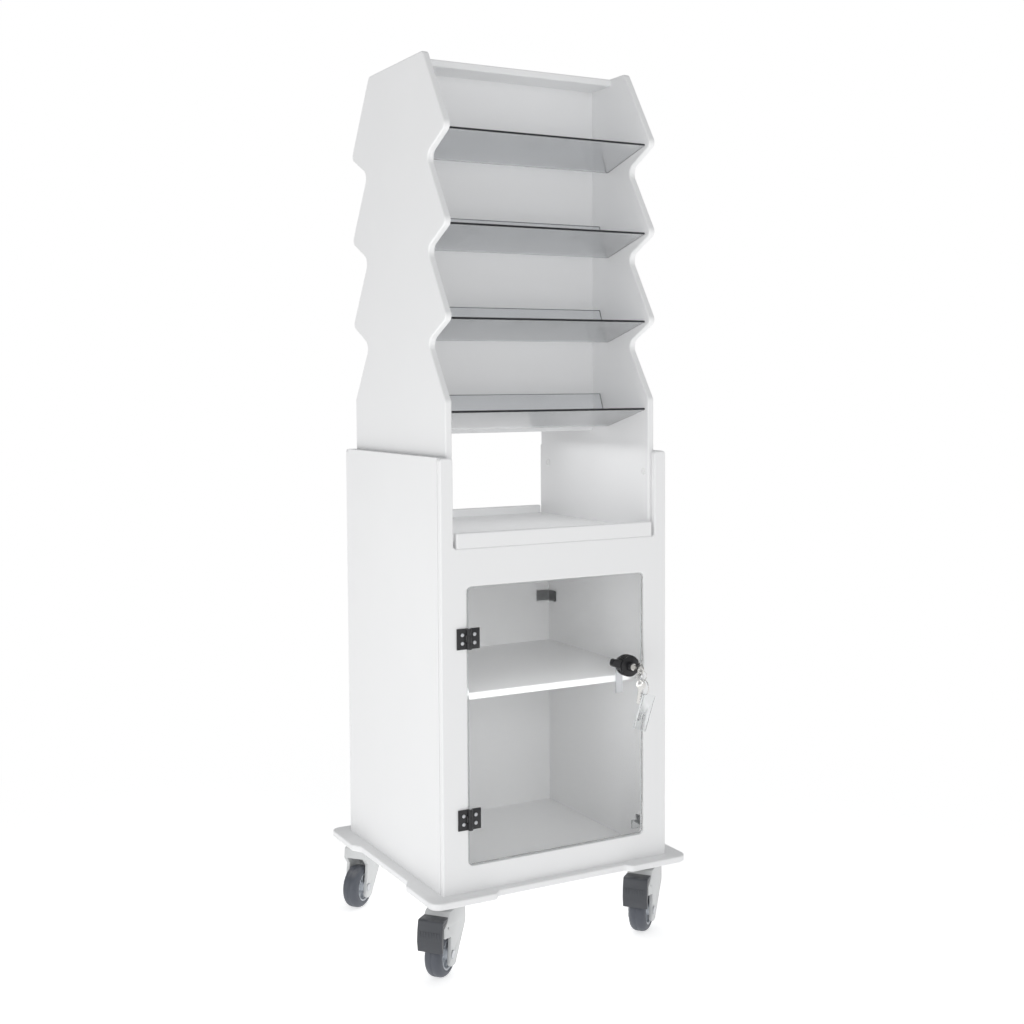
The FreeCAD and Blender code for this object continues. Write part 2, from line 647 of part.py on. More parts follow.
def hinge_leaf(name, middle, toward, bands, bore):
    """One leaf with its knuckles; toward is 1 for the door side and -1 for the frame side."""
    low = middle + " - hinge_tall / 2"
    reach = sorted((toward * 1.0, 0.0))
    near = "%s + %d * (barrel + leaf_relief)" % (HINGE_X, toward)
    far = "%s + %d * leaf_reach" % (HINGE_X, toward)
    across = (near, far) if reach[1] > 0 else (far, near)
    depth = (FRONT + " - leaf_thick", FRONT)
    pieces = [block(name + "Plate", across, depth, (low, low + " + hinge_tall"))]
    tongue = (HINGE_X, near + " + 0.5") if toward > 0 else (near + " - 0.5", HINGE_X)
    for index, (start, end) in enumerate(bands):
        span = (low + " + " + start, low + " + " + end)
        pieces.append(block("%sTongue%d" % (name, index), tongue, depth, span))
        pieces.append(rod("%sKnuckle%d" % (name, index), "Z", "barrel", HINGE_X, HINGE_Y, *span))
    hole = rod(name + "Bore", "Z", bore, HINGE_X, HINGE_Y, low + " - 1", low + " + hinge_tall + 1")
    return cut(name, join(name + "Solid", pieces), hole)


def hinges():
    third = "hinge_tall / 3"
    frame_bands = (("0", third), ("2 * " + third, "hinge_tall"))
    door_bands = ((third + " + knuckle_gap", "2 * %s - knuckle_gap" % third),)
    frame, door, pins, frame_screws, door_screws = [], [], [], [], []
    for name, up in (("High", "hinge_high"), ("Low", "hinge_low")):
        middle = DECK + " + " + up
        frame.append(hinge_leaf("FrameLeaf" + name, middle, -1, frame_bands, "pin"))
        door.append(hinge_leaf("DoorLeaf" + name, middle, 1, door_bands, "pin + run_gap"))
        span = (middle + " - hinge_tall / 2 - 0.6", middle + " + hinge_tall / 2 + 0.6")
        pins.append(rod("Pin" + name, "Z", "pin", HINGE_X, HINGE_Y, *span))
        face = FRONT + " - leaf_thick"
        for rise in ("-", "+"):
            z = "%s %s screw_rise" % (middle, rise)
            for side, list_of in (("-", frame_screws), ("+", door_screws)):
                label = "Screw%s%d" % (name, len(frame_screws) + len(door_screws))
                x = "%s %s screw_side" % (HINGE_X, side)
                list_of.append(dome(label, "Y", "screw_top", "screw_head", x, z, face + " - screw_deep", face))
    node(gather("FrameLeaves", frame), "hinge_frame_leaves")
    node(gather("Pins", pins), "hinge_pins")
    node(gather("FrameScrews", frame_screws), "frame_leaf_screws")
    node(gather("DoorLeaves", door), "hinge_door_leaves")
    node(gather("DoorScrews", door_screws), "door_leaf_screws")


# Lock, keys and tag

def lock_housing():
    made = body("Housing")
    sketch = sketch_on(made, "HousingProfile", "XY_Plane")
    bore = "stem + run_gap"
    end = "board - cam_gap / 3"
    outline(sketch, ((bore, "-rose_deep"), ("rose", "-rose_deep"), ("rose", "0"), ("sleeve", "0"), ("sleeve", end), (bore, end)))
    spin(made, "HousingTurned", sketch, "V_Axis")
    node(place(made, LOCK_X, FRONT, LOCK_Z), "lock_housing")


def lock_nut():
    back = FRONT + " + door_thick"
    made = doc.addObject("Part::Prism", "NutBlank")
    made.Polygon = 6
    made.setExpression("Circumradius", E("nut"))
    made.setExpression("Height", E("nut_deep"))
    aimed(made, "Y", LOCK_X, LOCK_Z, back)
    bore = rod("NutBore", "Y", "sleeve", LOCK_X, LOCK_Z, back + " - 1", back + " + nut_deep + 1")
    node(cut("Nut", made, bore), "lock_nut")


def lock_knob():
    """Knob with a wing, a stem through the sleeve and a nose bored for the lock cylinder."""
    made = body("Knob")
    sketch = sketch_on(made, "KnobProfile", "XY_Plane")
    rear = "knob_deep / 2"
    nose = "-knob_deep / 2 - snout_deep"
    tail = rear + " + knob_gap + rose_deep + board + cam_gap / 4"
    bore = "stem + run_gap"
    corners = (
        ("0", nose + " + plug_deep"), (bore, nose + " + plug_deep"), (bore, nose), ("snout", nose),
        ("snout", "-" + rear), ("knob", "-" + rear), ("knob", rear),
        ("stem", rear), ("stem", tail), ("0", tail),
    )
    outline(sketch, corners)
    solid = spin(made, "KnobTurned", sketch, "V_Axis")
    wing = sketch_on(made, "WingOutline", "XZ_Plane")
    half = "wing_thick / 2"
    outline(wing, (("-wing_reach", "-" + half), ("-snout - 4", "-" + half), ("-snout - 4", half), ("-wing_reach", half)))
    solid = pad(made, "Wing", wing, "wing_deep")
    solid = corner_fillet(made, "WingEnds", solid, wing, (0, 3), "wing_round")
    ends = lambda middle: abs(middle.x) > sheet.knob * 0.999 and middle.x < 0
    face_fillet(made, "WingEdges", solid, "Y", "wing_round / 3", ends)
    turn(made, (0, 1, 0), "wing_tilt")
    node(place(made, LOCK_X, KNOB_BACK + " - knob_deep / 2", LOCK_Z), "lock_knob")


def lock_cam():
    back = FRONT + " + board"
    hub = rod("CamHub", "Y", "stem + 1", LOCK_X, LOCK_Z, back + " + cam_gap / 4", back + " + cam_gap + cam_thick")
    bar = block("CamBar", (LOCK_X + " - cam_wide / 2", LOCK_X + " + cam_wide / 2"),
                (back + " + cam_gap", back + " + cam_gap + cam_thick"),
                (LOCK_Z + " - cam_long", LOCK_Z + " + cam_wide / 2"))
    face = back + " + cam_gap + cam_thick"
    head = dome("CamScrew", "Y", "screw_head", "screw_top", LOCK_X, LOCK_Z, face, face + " + screw_deep")
    node(join("Cam", [hub, bar, head]), "lock_cam")


def lock_cylinder():
    end = SNOUT_FRONT + " + plug_deep"
    plug = rod("Plug", "Y", "stem", LOCK_X, LOCK_Z, SNOUT_FRONT + " - run_gap", end + " - 0.3")
    half = "blade_thick / 2"
    slot = block("Keyway", (LOCK_X + " - " + half, LOCK_X + " + " + half),
                 (SNOUT_FRONT + " - 1", end + " - 4"),
                 (LOCK_Z + " - blade_tall / 2", LOCK_Z + " + blade_tall / 2"))
    node(cut("PlugCut", plug, slot), "lock_cylinder")


def lock_key():
    """Key standing in the lock, with its bow upright and square to the door."""
    half = "blade_thick / 2"
    blade = block("KeyBlade", (LOCK_X + " - " + half, LOCK_X + " + " + half),
                  (BOW_Y, SNOUT_FRONT + " + plug_deep - 4"),
                  (LOCK_Z + " - blade_tall / 2", LOCK_Z + " + blade_tall / 2"))
    thick = (LOCK_X + " - bow_thick / 2", LOCK_X + " + bow_thick / 2")
    bow = rod("KeyBow", "X", "bow", BOW_Y, LOCK_Z, *thick)
    neck = block("KeyNeck", thick, (BOW_Y, SNOUT_FRONT + " - run_gap"), (LOCK_Z + " - blade_tall * 0.65", LOCK_Z + " + blade_tall * 0.65"))
    hole = rod("KeyEye", "X", "eye", EYE_Y, LOCK_Z, thick[0] + " - 1", thick[1] + " + 1")
    node(cut("LockKey", join("KeySolid", [blade, bow, neck]), hole), "lock_key")


def hang(made, angle):
    """Turn a body about its length, then swing it until its weight is straight below its origin."""
    weight = made.Shape.Solids[0].CenterOfMass
    swing = math.degrees(math.atan2(weight.x, -weight.z))
    about = FreeCAD.Rotation(FreeCAD.Vector(0, 0, 1), angle)
    across = FreeCAD.Rotation(FreeCAD.Vector(0, 1, 0), swing)
    made.Placement = FreeCAD.Placement(FreeCAD.Vector(), about * across)
    return made


def spare_key():
    """Spare key on the key ring; its origin is the ring wire in its hole."""
    made = body("SpareKey")
    side = "spare_eye_side"
    middle = "-spare_rest - spare_eye_up"
    bow = circle(sketch_on(made, "SpareBow", "XZ_Plane"), side, middle, "spare_bow")
    pad(made, "SpareBowPad", bow, "spare_thick")
    blade = sketch_on(made, "SpareBlade", "XZ_Plane")
    left = side + " - spare_wide / 2"
    right = side + " + spare_wide / 2"
    start = middle + " - spare_bow * 0.7"
    tip = middle + " - spare_long"
    corners = [(left, start), (left, tip + " + 3"), (side, tip), (right, tip + " + 3")]
    for step in range(4):
        low = tip + " + %d" % (5 + 5 * step)
        corners.append((right, low))
        corners.append((right + " - spare_notch", low + " + 1.2"))
        corners.append((right + " - spare_notch", low + " + 2.4"))
        corners.append((right, low + " + 3.6"))
    corners.append((right, start))
    outline(blade, corners)
    pad(made, "SpareBladePad", blade, "spare_thick * 0.9")
    hole = circle(sketch_on(made, "SpareEye", "XZ_Plane"), "0", "-spare_rest", "spare_eye")
    pocket(made, "SpareEyeCut", hole, "spare_thick + 2")
    hang(made, sheet.spare_turn)
    node(place(made, SPARE_X, EYE_Y, SPARE_WIRE), "spare_key")


def key_tag():
    """Clear tag on a corner hole; its origin is the tag ring wire in that hole."""
    made = body("KeyTag")
    sketch = sketch_on(made, "TagOutline", "XZ_Plane")
    left = "-(tag_wide / 2 - tag_eye_side)"
    right = "tag_wide / 2 + tag_eye_side"
    low = "-(tag_tall - tag_eye_drop) - tag_rest"
    high = "tag_eye_drop - tag_rest"
    outline(sketch, ((left, low), (right, low), (right, high), (left, high)))
    solid = pad(made, "TagPad", sketch, "tag_thick")
    hole = circle(sketch_on(made, "TagEye", "XZ_Plane"), "0", "-tag_rest", "tag_eye")
    solid = pocket(made, "TagEyeCut", hole, "tag_thick + 2")
    corner_fillet(made, "TagCorners", solid, sketch, (0, 1, 2, 3), "tag_round")
    hang(made, 0)
    node(place(made, LOOP_X, EYE_Y, LOOP_Z + " - loop"), "key_tag")


# Casters

def caster_plates(spots):
    plates, screws = [], []
    top = "floor_gap"
    low = "floor_gap - plate_thick"
    half = "plate_side / 2"
    for name, x, y, angle in spots:
        plate = block("Plate" + name, (x + " - " + half, x + " + " + half), (y + " - " + half, y + " + " + half), (low, top))
        bore = rod("PlateBore" + name, "Z", "king + run_gap", x, y, low + " - 1", top + " + 1")
        plates.append(cut("PlateCut" + name, plate, bore))
        for index, (side, front) in enumerate((("-", "-"), ("-", "+"), ("+", "-"), ("+", "+"))):
            label = "Bolt%s%d" % (name, index)
            across = "%s %s bolt_off" % (x, side)
            along = "%s %s bolt_off" % (y, front)
            screws.append(dome(label, "Z", "bolt_head - 1", "bolt_head", across, along, low + " - bolt_deep", low))
    node(gather("Plates", plates), "caster_plates")
    node(gather("Bolts", screws), "caster_screws")


def fork(name, label, x, y, angle, braked):
    """Hood with two cheeks, trailing behind its swivel pin; a braked one has horns for the pedal."""
    made = body("Fork" + name)
    sketch = sketch_on(made, "ForkSide" + name, "YZ_Plane")
    plain = (("-trail - 0.5", "-40"), ("-trail - 12", "-27"), ("-trail - 9", "-fork_top"))
    horned = (
        ("-trail - 6", "-50"), ("-trail - 33.5", "-45"), ("-trail - 34.5", "-28"),
        ("-trail - 22", "-20.5"), ("-trail - 9", "-fork_top"),
    )
    corners = [
        ("17", "-fork_top"), ("19", "-42"), ("-trail + 11", "-floor_gap + wheel - 20"),
        ("-trail - 12", "-floor_gap + wheel - 20"), ("-trail - 8.5", "-floor_gap + wheel"),
    ]
    outline(sketch, corners + list(horned if braked else plain))
    solid = pad(made, "ForkPad" + name, sketch, "fork_wide")
    solid = corner_fillet(made, "ForkHeel" + name, solid, sketch, (1,), "24")
    solid = corner_fillet(made, "ForkFeet" + name, solid, sketch, (2, 3), "9")
    solid = corner_fillet(made, "ForkBrow" + name, solid, sketch, (6, 7, 8) if braked else (6, 7), "4")
    room = sketch_on(made, "ForkRoom" + name, "YZ_Plane")
    ceiling = "-fork_top - hood_thick"
    outline(room, (("-trail - 60", ceiling), ("-trail + 30", ceiling), ("-trail + 44", ceiling + " - 24"),
                   ("-trail + 44", "-floor_gap - 10"), ("-trail - 60", "-floor_gap - 10")))
    solid = pocket(made, "ForkRoomCut" + name, room, "slot_wide")
    hole = circle(sketch_on(made, "ForkHole" + name, "YZ_Plane"), "-trail", "-floor_gap + wheel", "axle")
    solid = pocket(made, "ForkHoleCut" + name, hole, "fork_wide + 2")
    if braked:
        pin = circle(sketch_on(made, "ForkPivot" + name, "YZ_Plane"), "-pivot_back", "-pivot_down", "pivot + run_gap")
        solid = pocket(made, "ForkPivotCut" + name, pin, "fork_wide + 2")
    neck = sketch_on(made, "ForkNeck" + name, "XZ_Plane")
    bearing = "-plate_thick - neck_gap"
    outline(neck, (("0", "-fork_top - 1"), ("neck", "-fork_top - 1"), ("neck", bearing), ("king", bearing), ("king", "-king_gap"), ("0", "-king_gap")))
    spin(made, "ForkKing" + name, neck, "V_Axis")
    turn(made, (0, 0, 1), angle)
    node(place(made, x, y, "floor_gap"), label + "_fork")


def wheel_spot(made, x, y, angle):
    """Set a round part down on its caster's axle."""
    turn(made, (0, 0, 1), angle)
    return place(made, "%s + trail * sin(%s)" % (x, angle), "%s - trail * cos(%s)" % (y, angle), "wheel")


def caster_axle(name, label, x, y, angle):
    made = body("Axle" + name)
    sketch = sketch_on(made, "AxleProfile" + name, "XZ_Plane")
    half = "fork_wide / 2"
    end = half + " + axle_cap_deep"
    outline(sketch, (("-(%s)" % end, "0"), (end, "0"), (end, "axle_cap"), (half, "axle_cap"), (half, "axle"),
                     ("-" + half, "axle"), ("-" + half, "axle_cap"), ("-(%s)" % end, "axle_cap")))
    spin(made, "AxleTurned" + name, sketch, "H_Axis")
    node(wheel_spot(made, x, y, angle), label + "_axle")


def caster_tread(name, label, x, y, angle):
    made = body("Tread" + name)
    sketch = sketch_on(made, "TreadProfile" + name, "XZ_Plane")
    half = "wheel_wide / 2"
    outline(sketch, (("-" + half, "core"), (half, "core"), (half, "wheel"), ("-" + half, "wheel")))
    solid = spin(made, "TreadTurned" + name, sketch, "H_Axis")
    names = []
    for number, edge in enumerate(solid.Shape.Edges, 1):
        if abs(edge.BoundBox.ZLength - 2 * sheet.wheel) < 0.01 and edge.BoundBox.XLength < 1e-4:
            names.append("Edge%d" % number)
    fillet(made, "TreadCrown" + name, solid, names, "wheel_round")
    node(wheel_spot(made, x, y, angle), label + "_tread")


def caster_hub(name, label, x, y, angle):
    made = body("Hub" + name)
    sketch = sketch_on(made, "HubProfile" + name, "XZ_Plane")
    half = "core_wide / 2"
    boss = "slot_wide / 2 - 0.5"
    right = ((boss, "axle + run_gap"), (boss, "10"), ("6", "11"), ("6", "core - 6"), (half, "core - 4"), (half, "core"))
    outline(sketch, list(right) + [("-(%s)" % across, up) for across, up in reversed(right)])
    spin(made, "HubTurned" + name, sketch, "H_Axis")
    node(wheel_spot(made, x, y, angle), label + "_hub")


def brake_pedal(name, label, x, y, angle):
    """Pedal over the trailing side, with a root and pin that turn between the horns."""
    made = body("Pedal" + name)
    skin = sketch_on(made, "PedalSide" + name, "YZ_Plane")
    corners = (
        ("-trail - 17", "-12.5"), ("-trail - 21", "-17"), ("-trail - 36", "-22"),
        ("-trail - 37.5", "-50"), ("-trail - 39.5", "-floor_gap + 57"), ("-trail - 44", "-floor_gap + 56.5"),
        ("-trail - 46.5", "-50"), ("-trail - 45", "-30"), ("-trail - 41", "-12.5"),
    )
    outline(skin, corners)
    solid = pad(made, "PedalPad" + name, skin, "pedal_wide")
    solid = corner_fillet(made, "PedalNose" + name, solid, skin, (8,), "5")
    outer = lambda middle: middle.y < -sheet.trail - 43
    solid = face_fillet(made, "PedalEdges" + name, solid, "X", "1.6", outer)
    web = sketch_on(made, "PedalWeb" + name, "YZ_Plane")
    outline(web, (("-trail - 37", "-pivot_down - 2.5"), ("-pivot_back", "-pivot_down - 2.5"),
                  ("-pivot_back", "-pivot_down + 2.5"), ("-trail - 37", "-pivot_down + 2.5")))
    pad(made, "PedalWebPad" + name, web, "slot_wide - 2")
    root = circle(sketch_on(made, "PedalRoot" + name, "YZ_Plane"), "-pivot_back", "-pivot_down", "bead")
    pad(made, "PedalRootPad" + name, root, "slot_wide - 2")
    pin = circle(sketch_on(made, "PedalPin" + name, "YZ_Plane"), "-pivot_back", "-pivot_down", "pivot")
    pad(made, "PedalPinPad" + name, pin, "fork_wide - 1")
    turn(made, (0, 0, 1), angle)
    node(place(made, x, y, "floor_gap"), label)


def build():
    base_plate()
    cabinet_side("cabinet_side_left", "-cabinet_wide / 2", "-" + WALL)
    cabinet_side("cabinet_side_right", WALL, "cabinet_wide / 2")
    end_panel("front_panel", FRONT + " + board / 2", -1, True)
    end_panel("rear_panel", "cabinet_deep / 2 - board / 2", 1, False)
    cabinet_shelf()
    corner_brackets()
    tray_floor()
    tray_lip("tray_front_lip", FRONT + " + board / 2")
    tray_lip("tray_rear_lip", "cabinet_deep / 2 - board / 2")
    rack_side("rack_side_left", "-%s - board / 2" % RACK)
    rack_side("rack_side_right", "%s + board / 2" % RACK)
    centre_divider()
    top_plate()
    for tier in range(4):
        brochure_shelf("front_shelf_%d" % (tier + 1), tier, False)
        brochure_shelf("rear_shelf_%d" % (tier + 1), tier, True)
    screw_caps()
    door_panel()
    hinges()
    lock_housing()
    lock_nut()
    lock_knob()
    lock_cam()
    lock_cylinder()
    lock_key()
    node(hoop("KeyRing", "Y", "ring", "wire", LOCK_X, EYE_Y, RING_Z), "key_ring")
    spare_key()
    node(hoop("TagRing", "X", "loop", "wire", LOOP_X, EYE_Y, LOOP_Z), "tag_ring")
    key_tag()
    spots = (
        ("FL", "-" + CASTER_X, "-" + CASTER_Y, "turn_near"),
        ("FR", CASTER_X, "-" + CASTER_Y, "turn_near"),
        ("RL", "-" + CASTER_X, CASTER_Y, "turn_near"),
        ("RR", CASTER_X, CASTER_Y, "turn_far"),
    )
    caster_plates(spots)
    for name, x, y, angle in spots:
        label = "caster_" + name.lower()
        braked = name.startswith("F")
        fork(name, label, x, y, angle, braked)
        caster_axle(name, label, x, y, angle)
        caster_tread(name, label, x, y, angle)
        caster_hub(name, label, x, y, angle)
        if braked:
            brake_pedal(name, "brake_pedal_" + name.lower(), x, y, angle)
    doc.recompute()


def checked():
    """Name every object that did not compute and every sub-part without a sound solid."""
    faults = []
    for made in doc.Objects:
        if "Invalid" in made.State or "Error" in made.State:
            faults.append("%s: %s" % (made.Name, made.State))
    for made in NODES:
        if made.Shape.isNull() or not made.Shape.isValid() or made.Shape.Volume <= 0:
            faults.append("%s: no sound solid" % made.Label)
    return faults


build()
problems = checked()
if problems:
    raise RuntimeError("; ".join(problems))
os.makedirs("parts", exist_ok=True)
for made in NODES:
    made.Shape.exportStep("parts/%s.step" % made.Label)
print("%d sub-parts written" % len(NODES))
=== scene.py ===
import json
import math

import bmesh
import bpy
from mathutils import Matrix, Vector


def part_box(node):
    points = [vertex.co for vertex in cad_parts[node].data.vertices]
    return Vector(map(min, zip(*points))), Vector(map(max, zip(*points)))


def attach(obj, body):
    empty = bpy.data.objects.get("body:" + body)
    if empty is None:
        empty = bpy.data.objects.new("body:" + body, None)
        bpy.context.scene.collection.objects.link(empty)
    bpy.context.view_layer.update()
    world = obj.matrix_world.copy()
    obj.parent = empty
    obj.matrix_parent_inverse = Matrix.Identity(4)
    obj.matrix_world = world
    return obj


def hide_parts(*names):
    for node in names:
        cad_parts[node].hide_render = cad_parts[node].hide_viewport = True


# Looks of a brochure rack: a white cabinet with a clear door on four casters, and
# a double-sided rack of clear shelves above it. Metres, X right, Y to the rear, Z up.

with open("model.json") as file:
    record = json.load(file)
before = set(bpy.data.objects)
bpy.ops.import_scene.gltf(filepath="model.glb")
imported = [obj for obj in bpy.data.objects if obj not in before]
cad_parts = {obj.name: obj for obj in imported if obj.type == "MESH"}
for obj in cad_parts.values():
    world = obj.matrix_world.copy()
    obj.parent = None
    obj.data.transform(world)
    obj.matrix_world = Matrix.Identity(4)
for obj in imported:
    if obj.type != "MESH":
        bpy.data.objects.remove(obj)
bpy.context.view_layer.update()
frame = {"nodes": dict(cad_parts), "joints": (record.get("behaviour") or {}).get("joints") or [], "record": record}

MM = 0.001
SCENE = bpy.context.scene
JOINTS = {joint["name"]: joint for joint in frame["joints"]}
CASTERS = ("fl", "fr", "rl", "rr")
BRAKED = ("fl", "fr")


# ---- node tree helpers

def add(tree, kind, inputs=(), **settings):
    """New node with its settings and plain input values."""
    made = tree.nodes.new(kind)
    for name, value in settings.items():
        setattr(made, name, value)
    for name, value in dict(inputs).items():
        made.inputs[name].default_value = value
    return made


def link(tree, source, target):
    tree.links.new(source, target)


def group_tree(name, kind, inputs, outputs):
    """Named node group; each socket is (name, type, default value or None)."""
    tree = bpy.data.node_groups.new(name, kind)
    for direction, sockets in (("INPUT", inputs), ("OUTPUT", outputs)):
        for label, socket_type, value in sockets:
            made = tree.interface.new_socket(label, in_out=direction, socket_type=socket_type)
            if value is not None:
                made.default_value = value
    return tree, tree.nodes.new("NodeGroupInput"), tree.nodes.new("NodeGroupOutput")


def maths(tree, operation, first, second=None, clamp=False):
    """Math node on sockets or plain numbers; returns its output."""
    made = add(tree, "ShaderNodeMath", operation=operation, use_clamp=clamp)
    for index, value in enumerate((first, second)):
        if value is None:
            continue
        if isinstance(value, (int, float)):
            made.inputs[index].default_value = value
        else:
            link(tree, value, made.inputs[index])
    return made.outputs[0]


def ramp(tree, value, low, high, to_low=0.0, to_high=1.0):
    """Smooth change of a value from one range to another."""
    made = add(tree, "ShaderNodeMapRange", interpolation_type="SMOOTHSTEP")
    link(tree, value, made.inputs["Value"])
    for name, number in (("From Min", low), ("From Max", high), ("To Min", to_low), ("To Max", to_high)):
        if isinstance(number, (int, float)):
            made.inputs[name].default_value = number
        else:
            link(tree, number, made.inputs[name])
    return made.outputs["Result"]


def noise(tree, where, scale, detail=2.0, roughness=0.5):
    made = add(tree, "ShaderNodeTexNoise", {"Detail": detail, "Roughness": roughness})
    link(tree, where, made.inputs["Vector"])
    if isinstance(scale, (int, float)):
        made.inputs["Scale"].default_value = scale
    else:
        link(tree, scale, made.inputs["Scale"])
    return made.outputs["Fac"]


def blended(tree, share, first, second):
    """Colour mixed from two colours or colour sockets."""
    made = add(tree, "ShaderNodeMix", data_type="RGBA")
    link(tree, share, made.inputs["Factor"])
    for name, colour in (("A", first), ("B", second)):
        socket = [item for item in made.inputs if item.name == name and item.type == "RGBA"][0]
        if isinstance(colour, tuple):
            socket.default_value = (*colour, 1.0)
        else:
            link(tree, colour, socket)
    return [item for item in made.outputs if item.type == "RGBA"][0]


# ---- effects shared by the materials

FLOAT = "NodeSocketFloat"
VECTOR = "NodeSocketVector"
DUST_COLOUR = (0.62, 0.61, 0.59)
SKIN_HEIGHT = 0.2 * MM
HAIRLINE_HEIGHT = 0.05 * MM


def sheet_grain():
    """Fine orange-peel skin of a moulded or extruded surface, with a slow drift of tone."""
    tree, given, out = group_tree(
        "sheet grain", "ShaderNodeTree",
        (("Vector", VECTOR, None), ("Scale", FLOAT, 900.0), ("Drift Scale", FLOAT, 6.0)),
        (("Tone", FLOAT, None), ("Height", FLOAT, None)),
    )
    fine = noise(tree, given.outputs["Vector"], given.outputs["Scale"], 3.0, 0.6)
    slow = noise(tree, given.outputs["Vector"], given.outputs["Drift Scale"], 2.0, 0.5)
    tone = maths(tree, "ADD", maths(tree, "MULTIPLY", fine, 0.3), maths(tree, "MULTIPLY", slow, 0.7))
    link(tree, tone, out.inputs["Tone"])
    link(tree, fine, out.inputs["Height"])
    return tree


def edge_highlight_mask():
    """Strength of the painted highlight on rounded and cut edges, broken up a little by noise."""
    tree, given, out = group_tree(
        "painted edge highlight", "ShaderNodeTree",
        (("Vector", VECTOR, None), ("Reach", FLOAT, 0.0025), ("Breakup", FLOAT, 0.3)),
        (("Edge", FLOAT, None),),
    )
    # finds rounded edges, where a painted highlight goes
    soft = add(tree, "ShaderNodeBevel", samples=4)
    link(tree, given.outputs["Reach"], soft.inputs["Radius"])
    face = add(tree, "ShaderNodeNewGeometry")
    facing = add(tree, "ShaderNodeVectorMath", operation="DOT_PRODUCT")
    link(tree, soft.outputs["Normal"], facing.inputs[0])
    link(tree, face.outputs["Normal"], facing.inputs[1])
    turned = ramp(tree, maths(tree, "SUBTRACT", 1.0, facing.outputs["Value"]), 0.01, 0.22)
    patch = noise(tree, given.outputs["Vector"], 160.0, 3.0, 0.6)
    kept = maths(tree, "SUBTRACT", 1.0, maths(tree, "MULTIPLY", patch, given.outputs["Breakup"]))
    link(tree, maths(tree, "MULTIPLY", turned, kept, True), out.inputs["Edge"])
    return tree


def settled_dust():
    """Thin dust on what faces up, thicker in patches."""
    tree, given, out = group_tree(
        "settled dust", "ShaderNodeTree",
        (("Vector", VECTOR, None), ("Scale", FLOAT, 40.0), ("Amount", FLOAT, 0.3)),
        (("Dust", FLOAT, None),),
    )
    face = add(tree, "ShaderNodeNewGeometry")
    split = add(tree, "ShaderNodeSeparateXYZ")
    link(tree, face.outputs["Normal"], split.inputs[0])
    upward = ramp(tree, split.outputs["Z"], 0.55, 0.98)
    patch = ramp(tree, noise(tree, given.outputs["Vector"], given.outputs["Scale"], 4.0, 0.65), 0.35, 0.75)
    whole = maths(tree, "MULTIPLY", upward, patch)
    link(tree, maths(tree, "MULTIPLY", whole, given.outputs["Amount"], True), out.inputs["Dust"])
    return tree


def hand_marks():
    """Soft smears and fine hairline rubs left by wiping."""
    tree, given, out = group_tree(
        "hand marks", "ShaderNodeTree",
        (("Vector", VECTOR, None), ("Scale", FLOAT, 14.0), ("Stretch", VECTOR, (1.0, 1.0, 6.0))),
        (("Smear", FLOAT, None), ("Hairline", FLOAT, None)),
    )
    smear = ramp(tree, noise(tree, given.outputs["Vector"], given.outputs["Scale"], 3.0, 0.55), 0.45, 0.72)
    drawn = add(tree, "ShaderNodeVectorMath", operation="MULTIPLY")
    link(tree, given.outputs["Vector"], drawn.inputs[0])
    link(tree, given.outputs["Stretch"], drawn.inputs[1])
    lines = ramp(tree, noise(tree, drawn.outputs["Vector"], 220.0, 4.0, 0.7), 0.55, 0.8)
    link(tree, smear, out.inputs["Smear"])
    link(tree, lines, out.inputs["Hairline"])
    return tree


GRAIN = sheet_grain()
EDGE_HIGHLIGHT = edge_highlight_mask()
DUST = settled_dust()
MARKS = hand_marks()


def effect(tree, group, where, **values):
    made = add(tree, "ShaderNodeGroup", node_tree=group)
    link(tree, where, made.inputs["Vector"])
    for name, value in values.items():
        made.inputs[name.replace("_", " ")].default_value = value
    return made.outputs


def blank(name):
    """Material with a Principled shader and the object's own coordinates."""
    made = bpy.data.materials.new(name)
    made.use_nodes = True
    tree = made.node_tree
    tree.nodes.clear()
    out = add(tree, "ShaderNodeOutputMaterial")
    shader = add(tree, "ShaderNodeBsdfPrincipled")
    link(tree, shader.outputs[0], out.inputs["Surface"])
    where = add(tree, "ShaderNodeTexCoord").outputs["Object"]
    return made, tree, shader, where


def shaded(colour, factor):
    return tuple(min(1.0, channel * factor) for channel in colour)


def bumped(tree, shader, height, strength, distance):
    bump = add(tree, "ShaderNodeBump", {"Strength": strength, "Distance": distance})
    link(tree, height, bump.inputs["Height"])
    link(tree, bump.outputs["Normal"], shader.inputs["Normal"])


def solid(name, colour, roughness, grain, tone, relief, edge, edge_highlight_share, dust, reach=2.5 * MM):
    """Opaque plastic or rubber: grain, drift of tone, painted highlight on edges, dust and rubs.
    edge is how much lighter the painted highlight on a rounded edge is and edge_highlight_share how far it goes
    there; reach is its width."""
    made, tree, shader, where = blank(name)
    skin = effect(tree, GRAIN, where, Scale=grain)
    rim = effect(tree, EDGE_HIGHLIGHT, where, Reach=reach)
    dusty = effect(tree, DUST, where, Amount=dust)
    rubs = effect(tree, MARKS, where)
    base = blended(tree, skin["Tone"], shaded(colour, 1 - tone), shaded(colour, 1 + tone))
    # lighter edges here are a painted highlight on the rounded edges
    highlighted_edge = maths(tree, "MULTIPLY", rim["Edge"], edge_highlight_share)
    base = blended(tree, highlighted_edge, base, shaded(colour, edge))
    base = blended(tree, dusty["Dust"], base, DUST_COLOUR)
    link(tree, base, shader.inputs["Base Color"])
    rubbed = ramp(tree, rubs["Smear"], 0.0, 1.0, roughness - 0.04, roughness + 0.06)
    dulled = maths(tree, "MULTIPLY", dusty["Dust"], 0.4)
    link(tree, maths(tree, "ADD", rubbed, dulled, True), shader.inputs["Roughness"])
    bumped(tree, shader, skin["Height"], relief, SKIN_HEIGHT)
    return made


